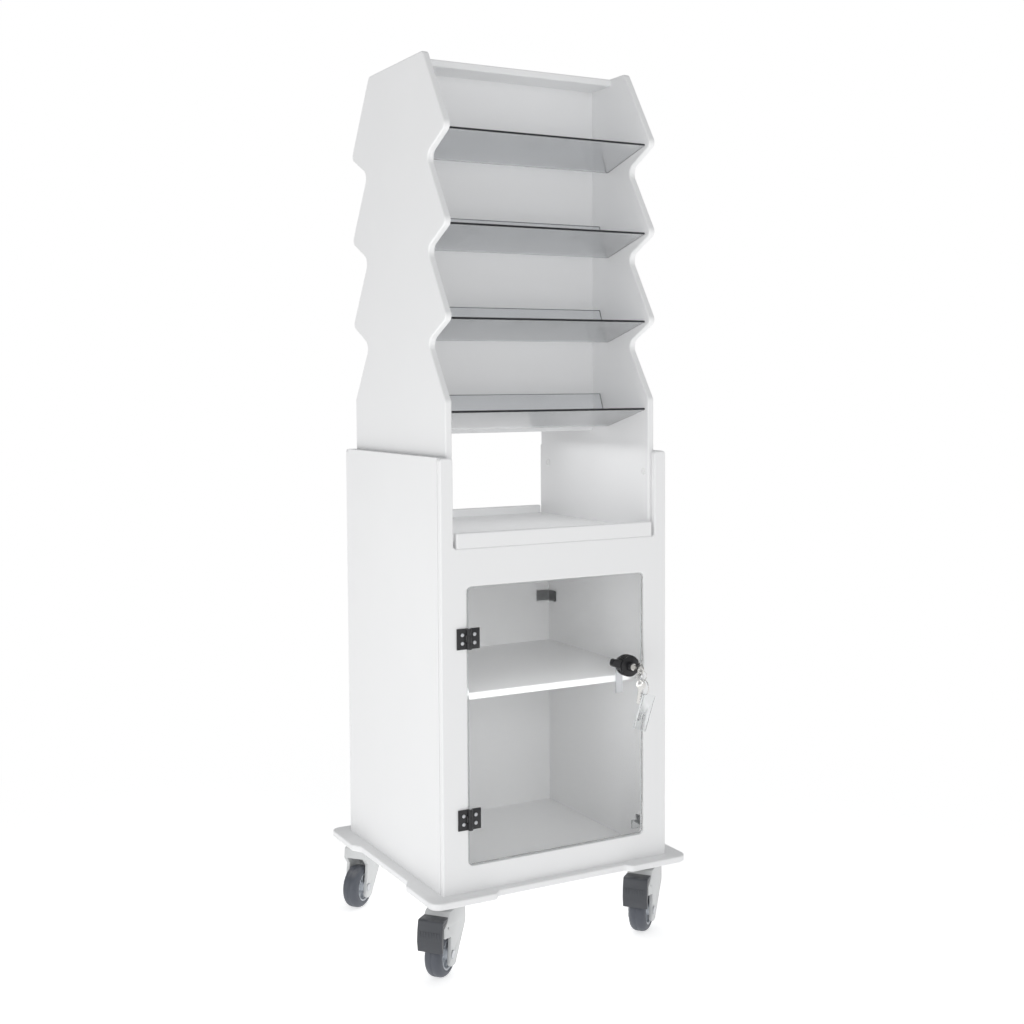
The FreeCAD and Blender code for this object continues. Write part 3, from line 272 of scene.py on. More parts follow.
def metal(name, colour, roughness):
    """Plated metal with hairlines and a painted highlight along its edges."""
    made, tree, shader, where = blank(name)
    rubs = effect(tree, MARKS, where)
    rim = effect(tree, EDGE_HIGHLIGHT, where, Reach=0.8 * MM)
    base = blended(tree, rubs["Smear"], shaded(colour, 0.92), shaded(colour, 1.04))
    # edges made lighter: painted highlight
    base = blended(tree, rim["Edge"], base, shaded(colour, 1.15))
    link(tree, base, shader.inputs["Base Color"])
    rough = ramp(tree, rubs["Hairline"], 0.0, 1.0, roughness, roughness + 0.15)
    link(tree, rough, shader.inputs["Roughness"])
    bumped(tree, shader, rubs["Hairline"], 0.05, HAIRLINE_HEIGHT)
    shader.inputs["Metallic"].default_value = 1.0
    return made


def clear(name, tint, edge_tint_and_shade, edge_low, edge_high, roughness=0.02, edge_inside=False, bend=1.49):
    """Clear plastic whose cut edges get a colour of their own: a tint on the door, tag and bracket, and on the
    shelves a near-black painted shade for the dark look of their polished front edges; lamps shine through it.
    edge_low and edge_high bound how squarely a face looks along Y where the edge colour sets in;
    edge_inside puts it on faces that look away from Y instead."""
    made, tree, shader, where = blank(name)
    own = add(tree, "ShaderNodeTexCoord").outputs["Normal"]
    split = add(tree, "ShaderNodeSeparateXYZ")
    link(tree, own, split.inputs[0])
    square = maths(tree, "ABSOLUTE", split.outputs["Y"])
    if edge_inside:
        square = maths(tree, "SUBTRACT", 1.0, square)
    cut_face = ramp(tree, square, edge_low, edge_high)
    rubs = effect(tree, MARKS, where, Scale=9.0)
    base = blended(tree, rubs["Smear"], tint, shaded(tint, 0.985))
    # cut faces take the edge colour; on the shelves it is painted shade
    link(tree, blended(tree, cut_face, base, edge_tint_and_shade), shader.inputs["Base Color"])
    gloss = ramp(tree, rubs["Smear"], 0.0, 1.0, roughness, roughness + 0.035)
    rough = maths(tree, "ADD", gloss, maths(tree, "MULTIPLY", cut_face, 0.12), True)
    link(tree, rough, shader.inputs["Roughness"])
    bumped(tree, shader, rubs["Hairline"], 0.03, 0.4 * HAIRLINE_HEIGHT)
    shader.inputs["Transmission Weight"].default_value = 1.0
    shader.inputs["IOR"].default_value = bend
    through = add(tree, "ShaderNodeBsdfTransparent")
    through.inputs["Color"].default_value = (*shaded(tint, 0.97), 1.0)
    path = add(tree, "ShaderNodeLightPath")
    mixed = add(tree, "ShaderNodeMixShader")
    link(tree, path.outputs["Is Shadow Ray"], mixed.inputs[0])
    link(tree, shader.outputs[0], mixed.inputs[1])
    link(tree, through.outputs[0], mixed.inputs[2])
    link(tree, mixed.outputs[0], tree.get_output_node("ALL").inputs["Surface"])
    return made


def plastics():
    """Opaque finishes by slot."""
    return {
        "white_sheet": solid(
            "white sheet", (0.925, 0.927, 0.93), roughness=0.42,
            grain=700.0, tone=0.012, relief=0.12, edge=1.05, edge_highlight_share=0.6, dust=0.05),
        "white_cap": solid(
            "white cap", (0.86, 0.86, 0.855), roughness=0.2,
            grain=1200.0, tone=0.01, relief=0.05, edge=1.04, edge_highlight_share=0.5, dust=0.04, reach=0.6 * MM),
        "hinge_black": solid(
            "hinge plastic", (0.018, 0.018, 0.02), roughness=0.42,
            grain=2200.0, tone=0.1, relief=0.35, edge=2.6, edge_highlight_share=0.5, dust=0.12, reach=0.6 * MM),
        "lock_black": solid(
            "lock plastic", (0.012, 0.012, 0.014), roughness=0.3,
            grain=2600.0, tone=0.08, relief=0.2, edge=2.8, edge_highlight_share=0.5, dust=0.1, reach=0.8 * MM),
        "caster_grey": solid(
            "caster nylon", (0.66, 0.67, 0.67), roughness=0.4,
            grain=1500.0, tone=0.025, relief=0.2, edge=1.12, edge_highlight_share=0.6, dust=0.2, reach=1.2 * MM),
        "hub_grey": solid(
            "hub nylon", (0.58, 0.61, 0.65), roughness=0.38,
            grain=1500.0, tone=0.025, relief=0.2, edge=1.12, edge_highlight_share=0.6, dust=0.15, reach=1.0 * MM),
        "tread_grey": solid(
            "wheel tread", (0.085, 0.093, 0.112), roughness=0.5,
            grain=1800.0, tone=0.06, relief=0.3, edge=1.5, edge_highlight_share=0.35, dust=0.25, reach=1.0 * MM),
        "pedal_grey": solid(
            "pedal plastic", (0.06, 0.064, 0.073), roughness=0.45,
            grain=2000.0, tone=0.06, relief=0.4, edge=1.9, edge_highlight_share=0.5, dust=0.2, reach=1.0 * MM),
    }


def platings():
    """Metal finishes by slot."""
    return {
        "zinc": metal("zinc plate", (0.62, 0.63, 0.65), roughness=0.3),
        "nickel": metal("nickel plate", (0.74, 0.73, 0.71), roughness=0.2),
    }


def clear_plastics():
    """See-through finishes by slot."""
    bracket_tint = (0.97, 0.98, 0.985)
    return {
        # near-black front edges: painted shade for the dark look of polished acrylic edges
        "clear_sheet": clear(
            "clear shelf", (0.872, 0.88, 0.89), (0.02, 0.022, 0.028),
            edge_low=0.94, edge_high=0.96, roughness=0.16),
        "clear_door": clear(
            "clear door", (0.992, 0.995, 0.995), (0.82, 0.86, 0.86),
            edge_low=0.3, edge_high=0.7, edge_inside=True, bend=1.25),
        "clear_bracket": clear(
            "clear bracket", bracket_tint, bracket_tint,
            edge_low=0.94, edge_high=0.96, bend=1.2),
        "clear_tag": clear(
            "clear tag", (0.97, 0.98, 0.98), (0.8, 0.84, 0.86),
            edge_low=0.3, edge_high=0.7, edge_inside=True, bend=1.2),
    }


FINISH = {**plastics(), **platings(), **clear_plastics()}


# ---- geometry trees

GEOMETRY = "NodeSocketGeometry"
MATERIAL = "NodeSocketMaterial"


def finished(tree, shape, given, out):
    """Close a tree: real geometry in the piece's own finish."""
    real = add(tree, "GeometryNodeRealizeInstances")
    painted = add(tree, "GeometryNodeSetMaterial")
    link(tree, shape, real.inputs[0])
    link(tree, real.outputs[0], painted.inputs["Geometry"])
    link(tree, given.outputs["Finish"], painted.inputs["Material"])
    link(tree, painted.outputs[0], out.inputs["Geometry"])


def scaled_number(tree, value, factor):
    return maths(tree, "MULTIPLY", value, factor)


def xyz(tree, x=0.0, y=0.0, z=0.0):
    made = add(tree, "ShaderNodeCombineXYZ")
    for index, value in enumerate((x, y, z)):
        if isinstance(value, (int, float)):
            made.inputs[index].default_value = value
        else:
            link(tree, value, made.inputs[index])
    return made.outputs[0]


def moved(tree, shape, offset=None, turn=None):
    made = add(tree, "GeometryNodeTransform")
    link(tree, shape, made.inputs["Geometry"])
    if offset is not None:
        link(tree, offset, made.inputs["Translation"])
    if turn is not None:
        made.inputs["Rotation"].default_value = turn
    return made.outputs[0]


def screw_tree():
    """Crowned cross-recess heads on points; each is turned to its own angle."""
    tree, given, out = group_tree(
        "cross recess screws", "GeometryNodeTree",
        (("Geometry", GEOMETRY, None), ("Head Radius", FLOAT, 0.0033), ("Crown Share", FLOAT, 0.72),
         ("Head Depth", FLOAT, 0.0013), ("Facing", VECTOR, (0.0, 0.0, 0.0)), ("Seed", "NodeSocketInt", 3),
         ("Finish", MATERIAL, None)),
        (("Geometry", GEOMETRY, None),),
    )
    rim_share = 0.45
    crown_share = 0.56
    crown_sunk = 0.01
    cross_long = 1.05
    cross_wide = 0.26
    cross_up = 1.05
    radius = given.outputs["Head Radius"]
    depth = given.outputs["Head Depth"]
    rim = add(tree, "GeometryNodeMeshCylinder", {"Vertices": 28})
    link(tree, radius, rim.inputs["Radius"])
    link(tree, scaled_number(tree, depth, rim_share), rim.inputs["Depth"])
    crown = add(tree, "GeometryNodeMeshCone", {"Vertices": 28})
    link(tree, maths(tree, "MULTIPLY", radius, given.outputs["Crown Share"]), crown.inputs["Radius Top"])
    link(tree, radius, crown.inputs["Radius Bottom"])
    link(tree, scaled_number(tree, depth, crown_share), crown.inputs["Depth"])
    rim_lift = xyz(tree, z=scaled_number(tree, depth, rim_share / 2))
    lower = moved(tree, rim.outputs["Mesh"], rim_lift)
    crown_lift = xyz(tree, z=scaled_number(tree, depth, rim_share - crown_sunk))
    upper = moved(tree, crown.outputs["Mesh"], crown_lift)
    bars = []
    for turn in (0.0, math.pi / 2):
        bar = add(tree, "GeometryNodeMeshCube")
        long = scaled_number(tree, radius, cross_long)
        size = xyz(tree, long, scaled_number(tree, radius, cross_wide), depth)
        link(tree, size, bar.inputs["Size"])
        lift = xyz(tree, z=scaled_number(tree, depth, cross_up))
        bars.append(moved(tree, bar.outputs["Mesh"], lift, (0.0, 0.0, turn)))
    whole = add(tree, "GeometryNodeMeshBoolean", operation="UNION", solver="EXACT")
    link(tree, lower, whole.inputs["Mesh 2"])
    link(tree, upper, whole.inputs["Mesh 2"])
    cross = add(tree, "GeometryNodeMeshBoolean", operation="UNION", solver="EXACT")
    for bar in bars:
        link(tree, bar, cross.inputs["Mesh 2"])
    head = add(tree, "GeometryNodeMeshBoolean", operation="DIFFERENCE", solver="EXACT")
    link(tree, whole.outputs["Mesh"], head.inputs["Mesh 1"])
    link(tree, cross.outputs["Mesh"], head.inputs["Mesh 2"])
    spin = add(tree, "FunctionNodeRandomValue", data_type="FLOAT")
    span = [item for item in spin.inputs if item.name in ("Min", "Max") and item.type == "VALUE"]
    span[0].default_value = 0.0
    span[1].default_value = math.pi
    link(tree, given.outputs["Seed"], spin.inputs["Seed"])
    angle = [item for item in spin.outputs if item.type == "VALUE"][0]
    placed = add(tree, "GeometryNodeInstanceOnPoints")
    link(tree, given.outputs["Geometry"], placed.inputs["Points"])
    link(tree, head.outputs["Mesh"], placed.inputs["Instance"])
    own = add(tree, "FunctionNodeRotateEuler", rotation_type="EULER", space="LOCAL")
    link(tree, given.outputs["Facing"], own.inputs["Rotation"])
    link(tree, xyz(tree, z=angle), own.inputs["Rotate By"])
    link(tree, own.outputs[0], placed.inputs["Rotation"])
    finished(tree, placed.outputs["Instances"], given, out)
    return tree


def split_ring_tree():
    """Ring of two side-by-side coils of one wire, about Z."""
    tree, given, out = group_tree(
        "split ring", "GeometryNodeTree",
        (("Geometry", GEOMETRY, None), ("Ring Radius", FLOAT, 0.0105), ("Wire Radius", FLOAT, 0.0004),
         ("Coils", FLOAT, 1.96), ("Pitch", FLOAT, 0.00084), ("Finish", MATERIAL, None)),
        (("Geometry", GEOMETRY, None),),
    )
    coil = add(tree, "GeometryNodeCurveSpiral", {"Resolution": 72})
    link(tree, given.outputs["Coils"], coil.inputs["Rotations"])
    link(tree, given.outputs["Ring Radius"], coil.inputs["Start Radius"])
    link(tree, given.outputs["Ring Radius"], coil.inputs["End Radius"])
    rise = maths(tree, "MULTIPLY", given.outputs["Pitch"], given.outputs["Coils"])
    link(tree, rise, coil.inputs["Height"])
    centred = moved(tree, coil.outputs["Curve"], xyz(tree, z=scaled_number(tree, rise, -0.5)))
    wire = add(tree, "GeometryNodeCurvePrimitiveCircle", {"Resolution": 12})
    link(tree, given.outputs["Wire Radius"], wire.inputs["Radius"])
    tube = add(tree, "GeometryNodeCurveToMesh", {"Fill Caps": True})
    link(tree, centred, tube.inputs["Curve"])
    link(tree, wire.outputs["Curve"], tube.inputs["Profile Curve"])
    finished(tree, tube.outputs["Mesh"], given, out)
    return tree


def rib_circle_tree():
    """Ribs standing round an axis, each a bar along the radius, about Z."""
    tree, given, out = group_tree(
        "ribs round an axis", "GeometryNodeTree",
        (("Geometry", GEOMETRY, None), ("Count", "NodeSocketInt", 8), ("Middle Radius", FLOAT, 0.016),
         ("Rib Size", VECTOR, (0.012, 0.0018, 0.006)), ("Finish", MATERIAL, None)),
        (("Geometry", GEOMETRY, None),),
    )
    around = add(tree, "GeometryNodeCurvePrimitiveCircle")
    link(tree, given.outputs["Count"], around.inputs["Resolution"])
    link(tree, given.outputs["Middle Radius"], around.inputs["Radius"])
    rib = add(tree, "GeometryNodeMeshCube")
    link(tree, given.outputs["Rib Size"], rib.inputs["Size"])
    points = add(tree, "GeometryNodeCurveToPoints", mode="EVALUATED")
    link(tree, around.outputs["Curve"], points.inputs["Curve"])
    place = add(tree, "GeometryNodeInputPosition")
    split = add(tree, "ShaderNodeSeparateXYZ")
    link(tree, place.outputs[0], split.inputs[0])
    angle = maths(tree, "ARCTAN2", split.outputs["Y"], split.outputs["X"])
    placed = add(tree, "GeometryNodeInstanceOnPoints")
    link(tree, points.outputs["Points"], placed.inputs["Points"])
    link(tree, rib.outputs["Mesh"], placed.inputs["Instance"])
    link(tree, xyz(tree, z=angle), placed.inputs["Rotation"])
    finished(tree, placed.outputs["Instances"], given, out)
    return tree


def rib_row_tree():
    """Row of grip ribs evenly spaced along X, centred."""
    tree, given, out = group_tree(
        "row of grip ribs", "GeometryNodeTree",
        (("Geometry", GEOMETRY, None), ("Count", "NodeSocketInt", 7), ("Spacing", FLOAT, 0.005),
         ("Rib Size", VECTOR, (0.0022, 0.001, 0.012)), ("Finish", MATERIAL, None)),
        (("Geometry", GEOMETRY, None),),
    )
    run = maths(tree, "SUBTRACT", given.outputs["Count"], 1.0)
    run = maths(tree, "MULTIPLY", run, given.outputs["Spacing"])
    row = add(tree, "GeometryNodeMeshLine")
    link(tree, given.outputs["Count"], row.inputs["Count"])
    link(tree, xyz(tree, x=scaled_number(tree, run, -0.5)), row.inputs["Start Location"])
    link(tree, xyz(tree, x=given.outputs["Spacing"]), row.inputs["Offset"])
    rib = add(tree, "GeometryNodeMeshCube")
    link(tree, given.outputs["Rib Size"], rib.inputs["Size"])
    placed = add(tree, "GeometryNodeInstanceOnPoints")
    link(tree, row.outputs["Mesh"], placed.inputs["Points"])
    link(tree, rib.outputs["Mesh"], placed.inputs["Instance"])
    finished(tree, placed.outputs["Instances"], given, out)
    return tree


# ---- making pieces

def new_piece(name, mesh):
    made = bpy.data.objects.new(name, mesh)
    SCENE.collection.objects.link(made)
    return made


def grown(name, tree, slot, values, seeds=((0.0, 0.0, 0.0),), placing=None):
    """Plain mesh that a geometry tree makes on seed points, then put in its place."""
    start = bpy.data.meshes.new(name + " points")
    start.from_pydata([tuple(seed) for seed in seeds], [], [])
    made = new_piece(name, start)
    modifier = made.modifiers.new("Shape", "NODES")
    modifier.node_group = tree
    wanted = dict(values, Finish=FINISH[slot])
    for item in tree.interface.items_tree:
        if item.item_type == "SOCKET" and item.in_out == "INPUT" and item.name in wanted:
            modifier[item.identifier] = wanted[item.name]
    depsgraph = bpy.context.evaluated_depsgraph_get()
    mesh = bpy.data.meshes.new_from_object(made.evaluated_get(depsgraph), depsgraph=depsgraph)
    made.modifiers.remove(modifier)
    made.data = mesh
    if placing is not None:
        mesh.transform(placing)
    return made


def smoothed(mesh, angle=35.0):
    for face in mesh.polygons:
        face.use_smooth = True
    mesh.set_sharp_from_angle(angle=math.radians(angle))


def softened(node, name, slot, width, body, segments=2, angle=35.0):
    """Copy of a CAD node with its hard edges rounded off; it stands for the node."""
    mesh = frame["nodes"][node].data.copy()
    mesh.name = name
    shape = bmesh.new()
    shape.from_mesh(mesh)
    bmesh.ops.remove_doubles(shape, verts=shape.verts, dist=1e-6)
    bmesh.ops.dissolve_limit(shape, angle_limit=math.radians(1.0), verts=shape.verts, edges=shape.edges)
    shape.to_mesh(mesh)
    shape.free()
    made = new_piece(name, mesh)
    modifier = made.modifiers.new("Rounding", "BEVEL")
    modifier.width = width
    modifier.segments = segments
    modifier.limit_method = "ANGLE"
    modifier.angle_limit = math.radians(angle)
    depsgraph = bpy.context.evaluated_depsgraph_get()
    result = bpy.data.meshes.new_from_object(made.evaluated_get(depsgraph), depsgraph=depsgraph)
    made.modifiers.remove(modifier)
    made.data = result
    result.materials.clear()
    result.materials.append(FINISH[slot])
    smoothed(result)
    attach(made, body)
    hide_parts(node)
    return made


def lathed(name, profile, slot, placing, steps=72):
    """Closed profile of (along, radius) points turned about the local X axis."""
    verts, faces = [], []
    count = len(profile)
    for step in range(steps):
        turn = 2 * math.pi * step / steps
        for along, radius in profile:
            verts.append((along, radius * math.cos(turn), radius * math.sin(turn)))
    for step in range(steps):
        following = (step + 1) % steps
        for index in range(count):
            beside = (index + 1) % count
            faces.append((step * count + index, step * count + beside,
                          following * count + beside, following * count + index))
    mesh = bpy.data.meshes.new(name)
    mesh.from_pydata(verts, [], faces)
    shape = bmesh.new()
    shape.from_mesh(mesh)
    bmesh.ops.recalc_face_normals(shape, faces=shape.faces)
    shape.to_mesh(mesh)
    shape.free()
    mesh.transform(placing)
    mesh.materials.append(FINISH[slot])
    smoothed(mesh)
    return new_piece(name, mesh)


def islands(node):
    """Low and high corner of each separate solid of a CAD node."""
    shape = bmesh.new()
    shape.from_mesh(frame["nodes"][node].data)
    bmesh.ops.remove_doubles(shape, verts=shape.verts, dist=1e-6)
    seen, found = set(), []
    for first in shape.verts:
        if first in seen:
            continue
        seen.add(first)
        stack, places = [first], []
        while stack:
            vert = stack.pop()
            places.append(vert.co.copy())
            for edge in vert.link_edges:
                other = edge.other_vert(vert)
                if other not in seen:
                    seen.add(other)
                    stack.append(other)
        low = Vector([min(place[axis] for place in places) for axis in range(3)])
        high = Vector([max(place[axis] for place in places) for axis in range(3)])
        found.append((low, high))
    shape.free()
    return found


def axle_frame(joint_name):
    """Local frame of a wheel or pedal: X along its axis, Z up, origin on the axis."""
    joint = JOINTS[joint_name]
    along = Vector(joint["axis"]).normalized()
    up = Vector((0.0, 0.0, 1.0))
    across = up.cross(along).normalized()
    placing = Matrix((along, across, up)).transposed().to_4x4()
    placing.translation = Vector(joint["pos_m"])
    return placing


# ---- the pieces

def paint_cad_nodes():
    """Give every CAD node the finish of its record slot."""
    for part in frame["record"]["subparts"]:
        data = frame["nodes"][part["node"]].data
        data.materials.clear()
        data.materials.append(FINISH[part["material_slot"]])


def hinge_screws(tree):
    """Cross-recess heads that look to the front, in place of the plain ones."""
    for node, body in (("frame_leaf_screws", "cart"), ("door_leaf_screws", "door")):
        spots = islands(node)
        low, high = spots[0]
        radius = (high.x - low.x) / 2
        seeds = [((a.x + b.x) / 2, b.y, (a.z + b.z) / 2) for a, b in spots]
        values = {"Head Radius": radius, "Head Depth": high.y - low.y,
                  "Facing": (math.pi / 2, 0.0, 0.0), "Seed": 4}
        made = grown(node + "_cross", tree, "zinc", values, seeds)
        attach(made, body)
        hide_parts(node)


def plate_screws(tree):
    """Cross-recess heads under the caster plates, looking down."""
    spots = islands("caster_screws")
    low, high = spots[0]
    seeds = [((a.x + b.x) / 2, (a.y + b.y) / 2, b.z) for a, b in spots]
    values = {"Head Radius": (high.x - low.x) / 2, "Head Depth": high.z - low.z,
              "Facing": (math.pi, 0.0, 0.0), "Seed": 9}
    made = grown("caster_screws_cross", tree, "zinc", values, seeds)
    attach(made, "cart")
    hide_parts("caster_screws")


def split_rings(tree):
    """Two coils of wire in place of each plain ring."""
    for node, body, turn in (
        ("key_ring", "key_ring_part", Matrix.Rotation(math.pi / 2, 4, "X")),
        ("tag_ring", "tag_ring_part", Matrix.Rotation(math.pi / 2, 4, "Y")),
    ):
        low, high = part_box(node)
        outer = (high.z - low.z) / 2
        wire = min(high.x - low.x, high.y - low.y) / 2
        placing = Matrix.Translation((low + high) / 2) @ turn
        values = {"Ring Radius": outer - wire, "Wire Radius": wire * 0.5, "Pitch": wire * 1.05}
        made = grown(node + "_split", tree, "nickel", values, placing=placing)
        smoothed(made.data, 60.0)
        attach(made, body)
        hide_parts(node)


TREAD_HALF = 16 * MM
TREAD_CORE = 28 * MM
TREAD_CROWN = 11.5 * MM
TREAD_STEPS = 9
BOSS_HALF = 16.5 * MM
WEB_HALF = 6 * MM
HUB_HALF = 15 * MM


def mirrored(profile):
    """The same outline on the other side of the wheel's middle, running back."""
    return [(-along, across) for along, across in reversed(profile)]


def tread_profile(radius):
    """Crowned tread with square walls and a thin moulding line round its middle."""
    wall = radius - TREAD_CROWN
    profile = [
        (-TREAD_HALF, TREAD_CORE),
        (-TREAD_HALF, wall - 1.2 * MM),
        (-TREAD_HALF + 0.5 * MM, wall - 0.6 * MM),
    ]
    for step in range(TREAD_STEPS + 1):
        turn = math.pi / 2 * step / TREAD_STEPS
        along = -TREAD_HALF + TREAD_CROWN * (1 - math.cos(turn))
        profile.append((along, radius - TREAD_CROWN * (1 - math.sin(turn))))
    profile.append((-0.5 * MM, radius))
    return profile + [(0.0, radius - 0.35 * MM)] + mirrored(profile)


def hub_profile():
    """Boss, thin web and rim, alike on both faces."""
    right = [
        (BOSS_HALF - 0.6 * MM, 4.05 * MM),
        (BOSS_HALF, 4.6 * MM),
        (BOSS_HALF, 9.3 * MM),
        (BOSS_HALF - 0.7 * MM, 10 * MM),
        (WEB_HALF + 1 * MM, 10.6 * MM),
        (WEB_HALF, 11.6 * MM),
        (WEB_HALF, 21 * MM),
        (WEB_HALF + 1 * MM, 22.2 * MM),
        (HUB_HALF - 0.7 * MM, 23.8 * MM),
        (HUB_HALF, 24.6 * MM),
        (HUB_HALF, 27.4 * MM),
        (HUB_HALF - 0.6 * MM, TREAD_CORE),
    ]
    return right + mirrored(right)


def wheel_tread(code, placing):
    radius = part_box("caster_%s_tread" % code)[1].z - placing.translation.z
    made = lathed("caster_%s_tyre" % code, tread_profile(radius), "tread_grey", placing, 96)
    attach(made, "wheel_" + code)
    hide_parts("caster_%s_tread" % code)


def wheel_hub(code, placing):
    made = lathed("caster_%s_core" % code, hub_profile(), "hub_grey", placing, 72)
    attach(made, "wheel_" + code)
    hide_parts("caster_%s_hub" % code)


def hub_ribs(tree, code, placing):
    """Ribs between boss and rim, on the web's two faces."""
    values = {"Count": 8, "Middle Radius": 16.6 * MM, "Rib Size": (13 * MM, 1.8 * MM, 5.6 * MM)}
    upright = Matrix.Rotation(math.pi / 2, 4, "Y")
    for side, off in (("outer", 8.4 * MM), ("inner", -8.4 * MM)):
        stand = placing @ Matrix.Translation((off, 0.0, 0.0)) @ upright
        made = grown("caster_%s_ribs_%s" % (code, side), tree, "hub_grey", values, placing=stand)
        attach(made, "wheel_" + code)


def wheels(tree):
    """A rounded tread and a ribbed hub on each caster's axle."""
    for code in CASTERS:
        placing = axle_frame("wheel_%s_roll" % code)
        wheel_tread(code, placing)
        wheel_hub(code, placing)
        hub_ribs(tree, code, placing)


def pedal_pieces(tree):
    """Brake pedals with softened edges and a row of grip ribs."""
    for code in BRAKED:
        body = "pedal_" + code
        node = "brake_pedal_" + code
        softened(node, node + "_shell", "pedal_grey", 0.7 * MM, body)
        stand = axle_frame("pedal_%s_press" % code) @ Matrix.Translation((0.0, -27.6 * MM, -7 * MM))
        values = {"Count": 8, "Spacing": 5 * MM, "Rib Size": (2 * MM, 1.2 * MM, 13 * MM)}
        made = grown("brake_grip_" + code, tree, "pedal_grey", values, placing=stand)
        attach(made, body)


def caster_frames():
    """Forks, axle pins and plates with softened edges."""
    for code in CASTERS:
        fork, axle = "caster_%s_fork" % code, "caster_%s_axle" % code
        softened(fork, "caster_%s_cheeks" % code, "caster_grey", 0.8 * MM, "swivel_" + code)
        softened(axle, "caster_%s_pin" % code, "zinc", 0.5 * MM, "swivel_" + code)
    softened("caster_plates", "caster_plates_soft", "zinc", 0.8 * MM, "cart")


def door_hardware():
    """Hinges, lock, keys, tag and angle pieces with softened edges."""
    softened("hinge_frame_leaves", "hinge_frame_soft", "hinge_black", 0.7 * MM, "cart")
    softened("hinge_door_leaves", "hinge_door_soft", "hinge_black", 0.7 * MM, "door")
    softened("lock_housing", "lock_rose", "lock_black", 0.6 * MM, "door")
    softened("lock_knob", "lock_grip", "lock_black", 0.8 * MM, "knob")
    softened("lock_nut", "lock_hex_nut", "nickel", 0.4 * MM, "door")
    softened("lock_cam", "lock_bolt_arm", "zinc", 0.4 * MM, "knob")
    softened("lock_key", "lock_key_soft", "nickel", 0.3 * MM, "key")
    softened("spare_key", "spare_key_soft", "nickel", 0.3 * MM, "spare_key_part")
    softened("key_tag", "key_tag_soft", "clear_tag", 0.5 * MM, "key_tag_part")
    softened("corner_brackets", "corner_brackets_soft", "clear_bracket", 0.5 * MM, "cart")


def knob_flutes(tree):
    """Fine flutes round the knob, between its nose and the rose."""
    nose = 10 * MM
    rose_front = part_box("lock_housing")[0].y
    knob_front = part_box("lock_knob")[0].y
    joint = Vector(JOINTS["knob_turn"]["pos_m"])
    middle = Vector((joint.x, (knob_front + nose + rose_front) / 2, joint.z))
    stand = Matrix.Translation(middle) @ Matrix.Rotation(math.pi / 2, 4, "X")
    values = {"Count": 40, "Middle Radius": 18.9 * MM, "Rib Size": (1.4 * MM, 1.3 * MM, 13 * MM)}
    made = grown("lock_grip_flutes", tree, "lock_black", values, placing=stand)
    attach(made, "knob")


paint_cad_nodes()
SCREWS = screw_tree()
RIBS_ROUND = rib_circle_tree()
hinge_screws(SCREWS)
plate_screws(SCREWS)
split_rings(split_ring_tree())
wheels(RIBS_ROUND)
pedal_pieces(rib_row_tree())
caster_frames()
door_hardware()
knob_flutes(RIBS_ROUND)


# ---- floor, light and camera

WHITE = (1.0, 1.0, 1.0, 1.0)
FLOOR_REACH = 30.0
FLOOR_DROP = 0.5 * MM
ROOM_LIGHT = 0.46
FILL_POWER = 0.22


def floor_material():
    """Pale floor that turns into the white surroundings further out."""
    made = bpy.data.materials.new("pale floor")
    made.use_nodes = True
    tree = made.node_tree
    tree.nodes.clear()
    out = add(tree, "ShaderNodeOutputMaterial")
    where = add(tree, "ShaderNodeTexCoord").outputs["Object"]
    length = add(tree, "ShaderNodeVectorMath", operation="LENGTH")
    link(tree, where, length.inputs[0])
    far = ramp(tree, length.outputs["Value"], 0.3, 1.6)
    matt = add(tree, "ShaderNodeBsdfDiffuse", {"Color": (0.82, 0.82, 0.82, 1.0)})
    glow = add(tree, "ShaderNodeEmission", {"Color": WHITE, "Strength": 0.6})
    near = add(tree, "ShaderNodeAddShader")
    link(tree, matt.outputs[0], near.inputs[0])
    link(tree, glow.outputs[0], near.inputs[1])
    white = add(tree, "ShaderNodeEmission", {"Color": WHITE, "Strength": 1.0})
    mixed = add(tree, "ShaderNodeMixShader")
    link(tree, far, mixed.inputs[0])
    link(tree, near.outputs[0], mixed.inputs[1])
    link(tree, white.outputs[0], mixed.inputs[2])
    link(tree, mixed.outputs[0], out.inputs["Surface"])
    return made


def studio_floor():
    """Wide floor just below the wheels."""
    mesh = bpy.data.meshes.new("studio_floor")
    reach = FLOOR_REACH
    corners = [(-reach, -reach, 0.0), (reach, -reach, 0.0), (reach, reach, 0.0), (-reach, reach, 0.0)]
    mesh.from_pydata(corners, [], [(0, 1, 2, 3)])
    mesh.materials.append(floor_material())
    made = new_piece("studio_floor", mesh)
    made.location.z = -FLOOR_DROP


def surroundings():
    """Soft white room: full white to look at, about half as bright as a light."""
    world = bpy.data.worlds.new("white room")
    SCENE.world = world
    world.use_nodes = True
    tree = world.node_tree
    tree.nodes.clear()
    out = add(tree, "ShaderNodeOutputWorld")
    seen = add(tree, "ShaderNodeBackground", {"Color": WHITE, "Strength": 1.0})
    lit = add(tree, "ShaderNodeBackground", {"Color": (0.98, 0.99, 1.0, 1.0), "Strength": ROOM_LIGHT})
    path = add(tree, "ShaderNodeLightPath")
    mixed = add(tree, "ShaderNodeMixShader")
    link(tree, path.outputs["Is Camera Ray"], mixed.inputs[0])
    link(tree, lit.outputs[0], mixed.inputs[1])
    link(tree, seen.outputs[0], mixed.inputs[2])
    link(tree, mixed.outputs[0], out.inputs["Surface"])


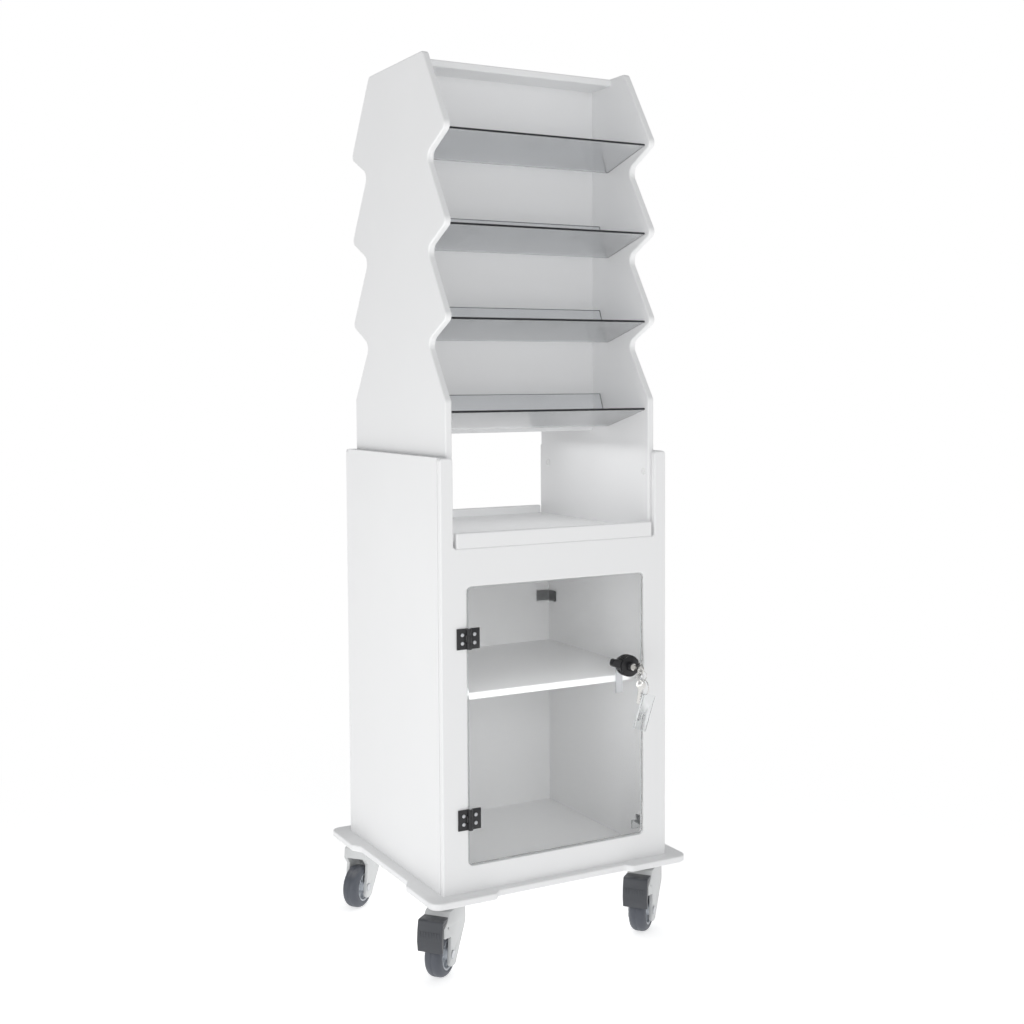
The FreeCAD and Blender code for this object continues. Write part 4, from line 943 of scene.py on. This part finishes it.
def lamp(name, place, aim, size, power, fill=False):
    """Soft rectangular lamp; a fill lamp lights surfaces but isn't seen itself."""
    data = bpy.data.lights.new(name, "AREA")
    data.shape = "RECTANGLE"
    data.size, data.size_y = size
    data.energy = power
    made = bpy.data.objects.new(name, data)
    if fill:
        made.visible_camera = False
        made.visible_glossy = False
        made.visible_transmission = False
    made.location = place
    made.rotation_euler = (Vector(aim) - Vector(place)).to_track_quat("-Z", "Y").to_euler()
    SCENE.collection.objects.link(made)


def fill_lamps():
    """Soft light in the cabinet, from just behind the front panel, and down onto the tray."""
    low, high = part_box("front_panel")
    middle = (low.x + high.x) / 2
    behind = high.y + 0.02
    lamp("cabinet fill", (middle, behind, 0.47), (middle, 0.2, 0.45), (0.34, 0.36), FILL_POWER, True)
    lamp("tray fill", (middle, -0.02, 0.9), (middle, -0.02, 0.0), (0.36, 0.3), FILL_POWER, True)


def camera():
    """Camera a metre above the floor, front left of the rack, tipped slightly down."""
    yaw = math.radians(28.577)
    pitch = math.radians(3.391)
    roll = math.radians(0.327)
    ahead = math.cos(pitch)
    forward = Vector((math.sin(yaw) * ahead, math.cos(yaw) * ahead, -math.sin(pitch)))
    level = Vector((math.cos(yaw), -math.sin(yaw), 0.0))
    down = forward.cross(level)
    right = level * math.cos(roll) + down * math.sin(roll)
    up = -(down * math.cos(roll) - level * math.sin(roll))
    data = bpy.data.cameras.new("camera")
    data.sensor_width = 36.0
    data.lens = 49.44
    data.shift_x = -0.0002
    data.shift_y = -0.0447
    made = bpy.data.objects.new("camera", data)
    placing = Matrix((right, up, -forward)).transposed().to_4x4()
    placing.translation = Vector((-1.2455, -2.3216, 1.0152))
    made.matrix_world = placing
    SCENE.collection.objects.link(made)
    SCENE.camera = made


studio_floor()
surroundings()
lamp("key light", place=(-1.7, -0.55, 0.5), aim=(0.0, -0.1, 0.6), size=(1.2, 1.0), power=5.5)
lamp("front light", place=(-0.7, -3.6, 1.7), aim=(0.0, 0.0, 0.7), size=(1.2, 1.0), power=13.0)
fill_lamps()
camera()
SCENE.view_settings.view_transform = "Standard"
